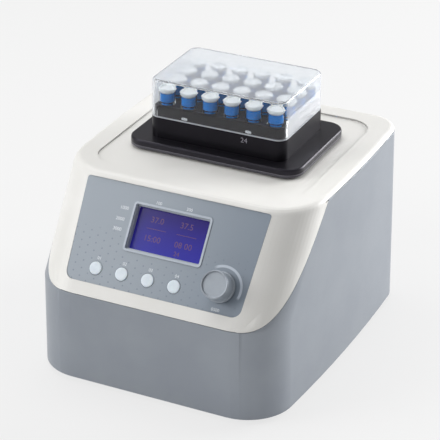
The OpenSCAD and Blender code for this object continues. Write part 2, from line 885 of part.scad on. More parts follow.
module bearing_housing() {
    flange_dia = 62;
    flange_h = 6;
    barrel = main_bearing_dia + 8;
    color("#9DA1A6") at_drive(z = chassis_top) difference() {
        union() {
            cylinder(d = flange_dia, h = flange_h);
            cylinder(d = barrel, h = bearing_top - chassis_top);
            for (i = [0:5])
                rotate(i * 60) translate([barrel / 2 + 3, 0, 0]) rotate([90, 0, 0])
                    linear_extrude(4, center = true)
                        polygon([[-4, 0], [8, 0], [8, flange_h], [-4, 24]]);
        }
        translate([0, 0, -1]) cylinder(d = main_bearing_dia - 6, h = 60);
        translate([0, 0, bearing_top - chassis_top - main_bearing_w - 1])
            cylinder(d = main_bearing_dia, h = 20);
    }
}

module idler_posts() {
    bore = idler_dia + 2 * run_gap;
    depth = 24;
    color("#9DA1A6") for (s = [-1, 1]) at_drive(s * idler_x, chassis_top) difference() {
        union() {
            cylinder(d = 20, h = post_top - chassis_top);
            cylinder(d = 24, h = 5);
        }
        translate([0, 0, post_top - chassis_top - depth]) cylinder(d = bore, h = depth + 1);
    }
}

// Small crank that keeps the carriage square while it orbits
module idler_crank(side) {
    color("#C4C7CB") at_drive(side * idler_x) {
        translate([0, 0, post_top - 22]) cylinder(d = idler_dia, h = 22.5);
        translate([0, 0, post_top + 0.3]) cylinder(d = 14, h = pin_z - post_top - 0.3);
        translate([orbit_r, 0, pin_z - 0.5]) cylinder(d = idler_pin_dia, h = pin_h - 2);
    }
}

module idler_crank_left() { idler_crank(-1); }
module idler_crank_right() { idler_crank(1); }

module eccentric_bearing() {
    color("#D4D6D9") at_drive(orbit_r, hub_z + 1)
        bearing(ecc_bearing_dia, pin_dia + 2 * run_gap, ecc_bearing_w);
}

module carriage() {
    w = 120;
    d = 76;
    top = carriage_z + carriage_t;
    idler_boss_z = pin_z + 2.5;
    color("#B4B7BB") at_drive(orbit_r) difference() {
        union() {
            translate([0, 0, carriage_z]) linear_extrude(carriage_t) rounded_rect(w, d, 8);
            translate([0, 0, hub_z]) cylinder(d = ecc_bearing_dia + 8, h = carriage_z - hub_z + 1);
            for (s = [-1, 1])
                translate([s * idler_x, 0, idler_boss_z]) cylinder(d = 16, h = carriage_z - idler_boss_z + 1);
            for (s = [-1, 1])
                translate([s * (idler_x + 14) / 2, 0, carriage_z - 2])
                    cube([idler_x - 14, 4, 5], center = true);
        }
        translate([0, 0, hub_z - 1]) cylinder(d = ecc_bearing_dia, h = ecc_bearing_w + 2);
        translate([0, 0, hub_z]) cylinder(d = pin_dia + 4, h = pin_h + 1);
        for (s = [-1, 1])
            translate([s * idler_x, 0, idler_boss_z - 1])
                cylinder(d = idler_pin_dia + 2 * run_gap, h = pin_z + pin_h - 1 - idler_boss_z);
        for (x = [-1, 1], y = [-1, 1])
            translate([x * 24, y * 30, carriage_z - 1]) linear_extrude(carriage_t + 2)
                rounded_rect(22, 8, 3.9);
        translate([-orbit_r, 0, 0]) at_corners(pillar_xy)
            translate([0, 0, top - 4]) cylinder(d = 6 + 2 * screw_fit, h = 5);
    }
}

// Pillars that reach through the cover, each with a spigot in the carriage
module platform_pillars() {
    top = carriage_z + carriage_t;
    color("#B4B7BB") at_drive() at_corners(pillar_xy) difference() {
        union() {
            translate([0, 0, top]) cylinder(d = pillar_dia, h = pillar_h);
            translate([0, 0, top - 3.5]) cylinder(d = 6, h = 4);
        }
        translate([0, 0, platform_z - 10]) cylinder(d = screw_dia + 2 * screw_fit, h = 12);
    }
}

// Platform, heater and block

// A plate with round corners and soft edges
module soft_plate(w, d, h, r, edge) {
    hull() {
        linear_extrude(slice_t) rounded_rect(w - edge, d - edge, r - edge / 2, $fn = 64);
        translate([0, 0, edge / 2]) linear_extrude(h - 1.5 * edge) rounded_rect(w, d, r, $fn = 64);
        for (a = [30:30:90])
            translate([0, 0, h - edge * (1 - sin(a)) - slice_t]) linear_extrude(slice_t)
                rounded_rect(w - 2 * edge * (1 - cos(a)), d - 2 * edge * (1 - cos(a)),
                             r - edge * (1 - cos(a)), $fn = 64);
    }
}

module shaker_platform() {
    edge = 1.6;
    color("#26242C") at_drive() difference() {
        translate([0, 0, platform_z]) soft_plate(platform_w, platform_d, platform_t, platform_r, edge);
        translate([0, 0, heater_z - pad_t])
            linear_extrude(20) square([heater_w + 2 * heater_gap, heater_d + 2 * heater_gap], center = true);
        at_corners(pillar_xy) {
            translate([0, 0, platform_z - 1]) cylinder(d = screw_dia + 2 * screw_fit, h = 10);
            translate([0, 0, heater_z - pad_t - 1.4]) cylinder(d = head_dia + 0.4, h = 5);
        }
        translate([0, 0, platform_z - 1]) cylinder(d = 5, h = 10);
    }
}

module platform_screws() {
    head = 1.2;
    color("#9A9DA2") at_drive() at_corners(pillar_xy)
        translate([0, 0, heater_z - pad_t - 1.4]) {
            cylinder(d = head_dia, h = head);
            translate([0, 0, -9]) cylinder(d = screw_dia, h = 9.5);
        }
}

module heater_pad() {
    color("#A8452E") at_drive(z = heater_z - pad_t) difference() {
        linear_extrude(pad_t) square([heater_w - 4, heater_d - 4], center = true);
        translate([0, 0, -1]) cylinder(d = 5, h = pad_t + 2);
    }
}

module heater_plate() {
    color("#A7ABB0") at_drive(z = heater_z) difference() {
        translate([0, 0, heater_t / 2]) cube([heater_w, heater_d, heater_t], center = true);
        translate([0, 0, -1]) cylinder(d = 4 + 2 * screw_fit, h = heater_t);
        for (s = [-1, 1]) {
            translate([s * block_screw_x, 0, -1]) cylinder(d = 4.4, h = heater_t + 2);
            translate([0, s * well_pitch, -1]) cylinder(d = 4, h = heater_t + 2);
        }
    }
}

module temperature_probe() {
    color("#C8CACC") at_drive(z = platform_z + 0.4) cylinder(d = 4, h = heater_z + heater_t - 1.2 - platform_z - 0.4);
}

module locating_pins() {
    color("#C8CACC") for (s = [-1, 1]) at_drive(z = heater_z) translate([0, s * well_pitch, 0]) {
        cylinder(d = 4, h = heater_t + 2);
        translate([0, 0, heater_t + 2]) cylinder(d1 = 4, d2 = 2.6, h = 1);
    }
}

function well_x(i) = (i - (columns - 1) / 2) * well_pitch;
function well_y(j) = (j - (rows - 1) / 2) * well_pitch;

module at_wells() {
    at_drive() for (i = [0:columns - 1], j = [0:rows - 1])
        translate([well_x(i), well_y(j), 0]) children();
}

// Outline of the lid's inside at height z, moved in by gap
module lid_inside(z, gap) {
    lean = lid_lean * (z - ledge_z) / lid_h;
    inset = lid_t + lean + gap;
    rounded_rect(block_w - 2 * inset, block_d - 2 * inset, max(block_r - inset, 2), $fn = 64);
}

// Upper part of the block, which the lid closes over
module block_crown() {
    edge = 0.8;
    hull() {
        translate([0, 0, ledge_z - slice_t]) linear_extrude(slice_t) lid_inside(ledge_z, lid_gap);
        translate([0, 0, crown_z - edge]) linear_extrude(slice_t) lid_inside(crown_z - edge, lid_gap);
        translate([0, 0, crown_z - slice_t]) linear_extrude(slice_t) lid_inside(crown_z, lid_gap + edge);
    }
}

module tube_block() {
    color("#26242C") difference() {
        union() {
            at_drive(z = platform_top) linear_extrude(ledge_h) rounded_rect(block_w, block_d, block_r);
            at_drive() block_crown();
        }
        at_wells() {
            translate([0, 0, tube_low + tube_dia / 2]) cylinder(r = well_r, h = 60);
            translate([0, 0, tube_low + tube_dia / 2]) sphere(r = well_r);
        }
        for (s = [-1, 1]) {
            at_drive(s * block_screw_x, platform_top - 1) cylinder(d = 4.2, h = 60);
            at_drive(s * block_screw_x, crown_z - 4) cylinder(d = 7.2, h = 10);
            at_drive(0, platform_top - 1) translate([0, s * well_pitch, 0]) cylinder(d = 4.2, h = 5);
            at_drive(s * detent_x, 0) detent_bars(2);
        }
    }
}

// Spring bars in the front and back of the block that hold the lid
module detent_bars(depth) {
    out = 0.2;
    face = block_d / 2 - lid_t - lid_gap;
    for (s = [-1, 1])
        translate([0, s * (face + out), ledge_z + 2.3]) rotate([s * 90, 0, 0]) linear_extrude(depth + out)
            rounded_rect(detent_w, detent_h, detent_h / 2 - 0.01);
}

module lid_detents() {
    color("#C8CACC") for (s = [-1, 1]) at_drive(s * detent_x) detent_bars(2);
}

module block_screws() {
    color("#B8BBC0") for (s = [-1, 1]) at_drive(s * block_screw_x, crown_z - 4) difference() {
        union() {
            cylinder(d = 6.6, h = 3);
            translate([0, 0, heater_z + 1 - crown_z + 4]) cylinder(d = 4, h = crown_z - 4 - heater_z - 1);
        }
        translate([0, 0, 1.2]) cylinder(d = 3.4, h = 4, $fn = 6);
    }
}

// Round-bottomed profile of radius r from z = low to z = high
module tube_profile(r, low, high) {
    difference() {
        union() {
            translate([0, low + r]) circle(r);
            translate([0, low + r]) square([r, high - low - r]);
        }
        translate([-2 * r, low - 1]) square([2 * r, high - low + 2]);
    }
}

// A tube stands on its collar, which is wider than the well
module sample_tubes() {
    inner = tube_dia / 2 - tube_wall;
    color("#DCE6EC") at_wells() rotate_extrude() difference() {
        union() {
            tube_profile(tube_dia / 2, tube_low, crown_z + 1);
            translate([0, crown_z]) square([collar_r, tube_proud]);
        }
        tube_profile(inner, tube_low + tube_wall, crown_z + 2);
        polygon([[0, crown_z + 0.8], [inner, crown_z + 0.8], [collar_r - collar_wall, crown_z + 2],
                 [collar_r - collar_wall, tube_top + 1], [0, tube_top + 1]]);
    }
}

module tube_liquid() {
    inner = tube_dia / 2 - tube_wall - liquid_gap;
    wide = collar_r - collar_wall - liquid_gap;
    top = tube_top - plug_h - liquid_gap;
    color("#1F63B5") at_wells() rotate_extrude() {
        tube_profile(inner, tube_low + tube_wall + liquid_gap, crown_z + 1);
        polygon([[0, crown_z + 0.9], [inner, crown_z + 0.9], [wide, crown_z + 2.2], [wide, top], [0, top]]);
    }
}

// Snap caps, each with a thumb tab on one side and its hinge on the other
module tube_caps() {
    r = cap_dia / 2;
    plug = collar_r - collar_wall - liquid_gap;
    tab = [1.6, 5, 1.2];
    hinge = [1.2, 3.4, 2];
    color("#F2F4F5") at_wells() translate([0, 0, tube_top]) {
        rotate_extrude()
            polygon([[0, 0.6], [plug - 0.8, 0.6], [plug - 0.8, -plug_h], [plug, -plug_h], [plug, 0], [r, 0],
                     [r, cap_h - 0.6], [r - 0.6, cap_h], [r - 1.4, cap_h], [r - 1.8, cap_h - 0.7],
                     [0, cap_h - 0.7]]);
        translate([r - 0.5, -tab[1] / 2, cap_h - 1.9]) cube(tab + [0.5, 0, 0]);
        translate([-r - hinge[0], -hinge[1] / 2, 0.4]) cube(hinge + [0.5, 0, 0]);
    }
}

// Clear lid: a drafted box with soft edges, open below
module clear_lid() {
    edge = 2;
    color("#DDE6EA", 0.35) at_drive() difference() {
        hull() {
            translate([0, 0, ledge_z]) linear_extrude(slice_t)
                rounded_rect(block_w, block_d, block_r, $fn = 64);
            for (a = [0:30:90])
                translate([0, 0, lid_top - edge * (1 - sin(a)) - slice_t]) linear_extrude(slice_t)
                    lid_skin(edge * (1 - cos(a)));
        }
        hull() {
            translate([0, 0, ledge_z - 1]) linear_extrude(slice_t) lid_inside(ledge_z, 0);
            translate([0, 0, lid_top - lid_t - 1.2]) linear_extrude(slice_t)
                lid_inside(lid_top - lid_t, 0);
            translate([0, 0, lid_top - lid_t - slice_t]) linear_extrude(slice_t)
                lid_inside(lid_top - lid_t, 1.2);
        }
    }
}

module lid_skin(inset) {
    side = lid_lean + inset;
    rounded_rect(block_w - 2 * side, block_d - 2 * side, max(block_r - side, 2), $fn = 64);
}

// Mains parts at the back

psu_gap = 2;
psu_side_gap = 4.5;
psu_low_x = chassis_w / 2 + chassis_flange + psu_gap;
psu_size = [case_w / 2 - wall - psu_side_gap - psu_low_x, 108, 50];
psu_x = psu_low_x + psu_size[0] / 2;
psu_y = 4;
psu_sheet = 1;
psu_end = psu_y + psu_size[1] / 2 - psu_sheet;
terminals = [psu_size[0] - 2 * psu_sheet - 2, 12, 16];
terminals_z = plate_top + 16;
lead_r = 1.3;
lead_x = psu_low_x + 7;

module power_supply() {
    vent_dia = 5;
    vent_pitch = [9, 12];
    color("#A4A7AB") translate([psu_x, psu_y, plate_top + psu_size[2] / 2]) difference() {
        cube(psu_size, center = true);
        cube(psu_size - 2 * [psu_sheet, psu_sheet, psu_sheet], center = true);
        for (i = [-5:5], j = [-1:1])
            translate([0, i * vent_pitch[0], j * vent_pitch[1]]) rotate([0, 90, 0])
                cylinder(d = vent_dia, h = psu_size[0] + 2, center = true);
        translate([0, psu_size[1] / 2, terminals_z - plate_top - psu_size[2] / 2])
            cube([terminals[0] - 1, 4, terminals[2] - 4], center = true);
    }
    color("#2E4A34") translate([psu_x, psu_end - terminals[1] / 2, terminals_z])
        cube(terminals + [0, 0.2, 0], center = true);
}

// A straight piece of wire from a to b
module wire_run(a, b, r) {
    v = b - a;
    l = norm(v);
    translate(a) rotate([0, acos(v[2] / l), atan2(v[1], v[0])]) cylinder(r = r, h = l);
}

module wire(points, r) {
    for (i = [0:len(points) - 2]) {
        wire_run(points[i], points[i + 1], r);
        if (i > 0) translate(points[i]) sphere(r = r + 0.1);
    }
}

module mains_leads() {
    back = back_y - inlet_depth;
    tag_x = 6;
    apart = 3;
    color("#3A2A22") for (s = [-1, 1]) {
        x = inlet_x + s * tag_x;
        end_x = lead_x + s * apart;
        turn_y = back - 8 + s * apart;
        wire([[x, back, socket_z], [x, turn_y, socket_z], [end_x, turn_y, terminals_z],
              [end_x, psu_end + 0.1, terminals_z]], lead_r);
    }
}

module power_inlet() {
    color("#1E1E20") difference() {
        union() {
            on_back(inlet_x, inlet_z) linear_extrude(flange_t) rounded_rect(inlet_w + 5, inlet_l + 5, 3);
            on_back(inlet_x, inlet_z) translate([0, 0, -inlet_depth / 2])
                cube([inlet_w, inlet_l, inlet_depth], center = true);
        }
        on_back(inlet_x, socket_z) translate([0, 0, flange_t - socket_depth])
            linear_extrude(socket_depth + 1) socket_outline();
        on_back(inlet_x, fuse_z) translate([0, 0, flange_t - fuse_depth - 0.5])
            linear_extrude(fuse_depth + 2)
                square([fuse_w + 2 * fuse_gap, fuse_l + 2 * fuse_gap], center = true);
    }
}

// Socket outline with its two cut corners
module socket_outline() {
    a = socket_w / 2;
    b = socket_l / 2;
    cut = 4.5;
    polygon([[-a, -b], [a, -b], [a, b - cut], [a - cut, b], [cut - a, b], [-a, b - cut]]);
}

module inlet_pins() {
    length = 11;
    color("#C9CACC") on_back(inlet_x, socket_z) translate([0, 0, flange_t - socket_depth])
        for (p = [[-7, -2], [0, 2], [7, -2]])
            translate([p[0], p[1], length / 2]) cube([2, 4, length], center = true);
}

module fuse_drawer() {
    color("#2C2C2F") on_back(inlet_x, fuse_z) difference() {
        translate([0, 0, flange_t - fuse_depth / 2]) cube([fuse_w, fuse_l, fuse_depth], center = true);
        translate([0, fuse_l / 2, flange_t]) cube([8, 3, 2.4], center = true);
        translate([0, 0, flange_t - fuse_depth / 2 - 1]) cube([fuse_w - 3, 6, fuse_depth - 7], center = true);
        translate([0, 3, flange_t - fuse_depth / 2 - 1]) cube([fuse_w - 3, 6, fuse_depth - 7], center = true);
    }
}

module switch_frame() {
    half = 8.8;
    color("#1E1E20") on_back(switch_x, inlet_z) difference() {
        union() {
            linear_extrude(1.5) rounded_rect(17, 24, 2);
            translate([0, 0, -8]) cube([13, 19, 16], center = true);
        }
        translate([0, 0, -2.5]) cube([rocker_w + 2 * rocker_gap, 2 * half, 13], center = true);
        translate([0, 0, rocker_pivot_y - back_y]) rotate([0, 90, 0])
            cylinder(d = 2 + 2 * run_gap, h = 12.4, center = true);
    }
}

// Rocker of the switch, at rest with its lower half out
module power_rocker() {
    color("#2C2C2F") on_back(switch_x, inlet_z, rocker_pivot_y) rotate([rocker_tilt, 0, 0]) {
        rotate([90, 0, 90]) linear_extrude(rocker_w, center = true)
            polygon([[-7.4, -2], [7.4, -2], [7.6, 5.2], [3.8, 5.5], [0, 6], [-3.8, 5.5], [-7.6, 5.2]]);
        rotate([0, 90, 0]) cylinder(d = 2, h = 12, center = true);
    }
}

module fan_frame() {
    hub = 23;
    color("#28282B") on_back(-fan_x, fan_z, fan_y) difference() {
        union() {
            difference() {
                linear_extrude(fan_t) rounded_rect(fan_w, fan_w, 4);
                translate([0, 0, -1]) cylinder(r = fan_bore, h = fan_t + 2);
            }
            cylinder(d = hub, h = 2.4);
            for (i = [0:3])
                rotate(i * 90 + 45) translate([0, -2, 0]) cube([fan_bore + 1, 4, 2.4]);
        }
        translate([0, 0, -1]) cylinder(d = 3 + 2 * run_gap, h = 5);
        for (x = [-1, 1], y = [-1, 1])
            translate([x * (fan_w / 2 - 5), y * (fan_w / 2 - 5), 3])
                cylinder(d = screw_dia + 2 * screw_fit, h = fan_t);
    }
}

module fan_rotor() {
    blades = 7;
    reach = fan_bore - 1;
    color("#303034") on_back(-fan_x, fan_z, fan_y) {
        translate([0, 0, 3]) cylinder(d = 22, h = fan_t - 5);
        translate([0, 0, 0.4]) cylinder(d = 3, h = 3);
        intersection() {
            for (i = [0:blades - 1])
                rotate(i * 360 / blades) translate([reach / 2, 0, fan_t / 2 + 0.5]) rotate([38, 0, 0])
                    cube([reach, 14, 1.2], center = true);
            translate([0, 0, 3]) ring(2 * reach, 20, fan_t - 5);
        }
    }
}

module fan_screws() {
    color("#9A9DA2") on_back(-fan_x, fan_z) for (x = [-1, 1], y = [-1, 1])
        translate([x * (fan_w / 2 - 5), y * (fan_w / 2 - 5), 0]) mirror([0, 0, 1])
            screw(screw_dia, wall + 9, head_dia, 1.6);
}

base_housing();
base_plate();
rubber_feet();
base_screws();
top_cover();
cover_screws();
control_panel();
display_bezel();
lcd_frame();
lcd_glass();
display_board();
board_screws();
tact_switches();
button_1();
button_2();
button_3();
button_4();
encoder_body();
encoder_plunger();
encoder_shaft();
control_knob();
main_board();
board_standoffs();
chassis();
motor_housing();
motor_stator();
motor_rotor();
drive_shaft();
counterweight();
main_bearings();
bearing_housing();
idler_posts();
idler_crank_left();
idler_crank_right();
eccentric_bearing();
carriage();
platform_pillars();
shaker_platform();
platform_screws();
heater_pad();
heater_plate();
temperature_probe();
locating_pins();
tube_block();
block_screws();
lid_detents();
sample_tubes();
tube_liquid();
tube_caps();
clear_lid();
power_supply();
mains_leads();
power_inlet();
inlet_pins();
fuse_drawer();
switch_frame();
power_rocker();
fan_frame();
fan_rotor();
fan_screws();
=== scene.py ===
import math

import bmesh
import bpy
from mathutils import Matrix, Vector


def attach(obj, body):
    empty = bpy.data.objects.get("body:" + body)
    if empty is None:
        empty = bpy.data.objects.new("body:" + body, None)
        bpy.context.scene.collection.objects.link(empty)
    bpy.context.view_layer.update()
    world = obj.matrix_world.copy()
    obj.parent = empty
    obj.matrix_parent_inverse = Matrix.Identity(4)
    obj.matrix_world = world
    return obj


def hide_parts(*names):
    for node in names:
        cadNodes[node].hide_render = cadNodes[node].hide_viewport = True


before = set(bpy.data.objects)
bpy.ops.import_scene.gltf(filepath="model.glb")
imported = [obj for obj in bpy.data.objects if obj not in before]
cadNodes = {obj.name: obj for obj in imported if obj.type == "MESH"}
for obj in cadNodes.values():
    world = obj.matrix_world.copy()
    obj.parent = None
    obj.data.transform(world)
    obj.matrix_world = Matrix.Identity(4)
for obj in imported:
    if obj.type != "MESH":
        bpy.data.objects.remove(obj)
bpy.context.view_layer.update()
mm = 0.001
print("frame loaded:", len(cadNodes), "nodes")

# The camera: a long lens, from the right and above
cameraPlace = {
    "at": (0.58603, -1.20715, 0.78044),
    "aim": (-0.01205, 0.02465, 0.08028),
    "rollDegrees": 0.13,
    "lensMm": 160.5,
    "sensorMm": 36,
    "clip": (0.05, 20),
}


def placeCamera(place):
    at, aim = Vector(place["at"]), Vector(place["aim"])
    back = (at - aim).normalized()
    right = Vector((0, 0, 1)).cross(back).normalized()
    up = back.cross(right)
    roll = math.radians(place["rollDegrees"])
    right, up = right * math.cos(roll) + up * math.sin(roll), up * math.cos(roll) - right * math.sin(roll)
    turn = Matrix((right, up, back)).transposed().to_4x4()
    lens = bpy.data.cameras.new("benchCamera")
    lens.lens = place["lensMm"]
    lens.sensor_width = place["sensorMm"]
    lens.clip_start, lens.clip_end = place["clip"]
    camera = bpy.data.objects.new("benchCamera", lens)
    bpy.context.scene.collection.objects.link(camera)
    camera.matrix_world = Matrix.Translation(at) @ turn
    bpy.context.scene.camera = camera


placeCamera(cameraPlace)
bpy.context.scene.view_settings.view_transform = "Standard"

# The sloping fascia: its tilt and foot, and in millimetres what stands on it, across and up the slope
fascia = {
    "tiltDegrees": 54, "frontMm": -122.5, "seamMm": 76.0, "windowUp": 58.6, "knobX": 51.4, "knobUp": 29.8,
    "buttonX": -48.6, "buttonPitch": 21.4, "buttonUp": 22.4, "buttonCount": 4,
}
blockY = 28.8  # the middle of the block, its tubes and its lid
slopeTurn = math.radians(fascia["tiltDegrees"])
upSlope = Vector((0, math.cos(slopeTurn), math.sin(slopeTurn)))
outOfSlope = Vector((0, -upSlope.z, upSlope.y))
slopeFoot = Vector((0, fascia["frontMm"], fascia["seamMm"]))
slopeOffset = -upSlope.dot(slopeFoot)  # turns a place's share along upSlope into millimetres from the foot


def onFascia(x, up, out):  # matrix of a place on the fascia: X to the right, Y up the slope, Z out of it
    turn = Matrix((Vector((1, 0, 0)), upSlope, outOfSlope)).transposed().to_4x4()
    return Matrix.Translation(slopeFoot * mm) @ turn @ Matrix.Translation((x * mm, up * mm, out * mm))


# Small helpers for nodes


def linear(code):  # sRGB hex to the linear colour that nodes use
    parts = [int(code[i:i + 2], 16) / 255 for i in (1, 3, 5)]
    return [c / 12.92 if c <= 0.04045 else ((c + 0.055) / 1.055) ** 2.4 for c in parts] + [1.0]


def addNode(tree, kind, fields=None, inputs=None):
    node = tree.nodes.new("ShaderNode" + kind)
    for name, value in (fields or {}).items():
        setattr(node, name, value)
    for key, value in (inputs or {}).items():
        if isinstance(value, bpy.types.NodeSocket):
            tree.links.new(value, node.inputs[key])
        else:
            node.inputs[key].default_value = value
    return node


def newMaterial(name, settings):
    material = bpy.data.materials.new(name)
    material.use_nodes = True
    tree = material.node_tree
    shader = tree.nodes["Principled BSDF"]
    for key, value in settings.items():
        shader.inputs[key].default_value = value
    where = addNode(tree, "TexCoord")
    place = addNode(tree, "VectorMath", {"operation": "SCALE"}, {0: where.outputs["Object"], "Scale": 1 / mm})
    return material, tree, shader, place.outputs[0]  # the place is in millimetres


def feed(tree, socket, target):
    tree.links.new(socket, target)


def roughen(tree, shader, noise, limits):  # roughness between two limits, moved by a noise
    low, high = limits
    rough = addNode(tree, "MapRange", None, {
        "Value": noise, "From Min": 0.3, "From Max": 0.7, "To Min": low, "To Max": high})
    feed(tree, rough.outputs[0], shader.inputs["Roughness"])


def emboss(tree, shader, height, look):  # relief from a height, and edges broken so that they catch the light
    relief = addNode(tree, "Bump", None, {
        "Strength": look.get("strength", 0.5), "Distance": look["reliefMm"] * mm, "Height": height})
    if "edgeMm" in look:
        edge = addNode(tree, "Bevel", {"samples": 4}, {"Radius": look["edgeMm"] * mm})
        feed(tree, edge.outputs[0], relief.inputs["Normal"])
    feed(tree, relief.outputs[0], shader.inputs["Normal"])


# A finish: a base colour with softer patches, a grain that moves roughness, and relief from that grain
def makeFinish(name, finish):
    material, tree, shader, place = newMaterial(name, finish.get("set", {}))
    stretched = addNode(tree, "Mapping", None, {"Vector": place, "Scale": finish.get("stretch", (1, 1, 1))})
    patches = addNode(tree, "TexNoise", None, {
        "Vector": place, "Scale": 1 / finish["patchMm"], "Detail": 3.0, "Roughness": 0.55})
    grain = addNode(tree, "TexNoise", None, {
        "Vector": stretched.outputs[0], "Scale": 1 / finish["grainMm"], "Detail": 4.0,
        "Roughness": 0.6}).outputs["Fac"]
    spread = addNode(tree, "MapRange", None, {
        "Value": patches.outputs["Fac"], "From Min": 0.35, "From Max": 0.65})
    tint = addNode(tree, "Mix", {"data_type": "RGBA"}, {
        "Factor": spread.outputs[0], 6: linear(finish["colour"]), 7: linear(finish["patch"])})
    feed(tree, tint.outputs[2], shader.inputs["Base Color"])
    roughen(tree, shader, grain, finish["roughness"])
    emboss(tree, shader, grain, finish)
    return material


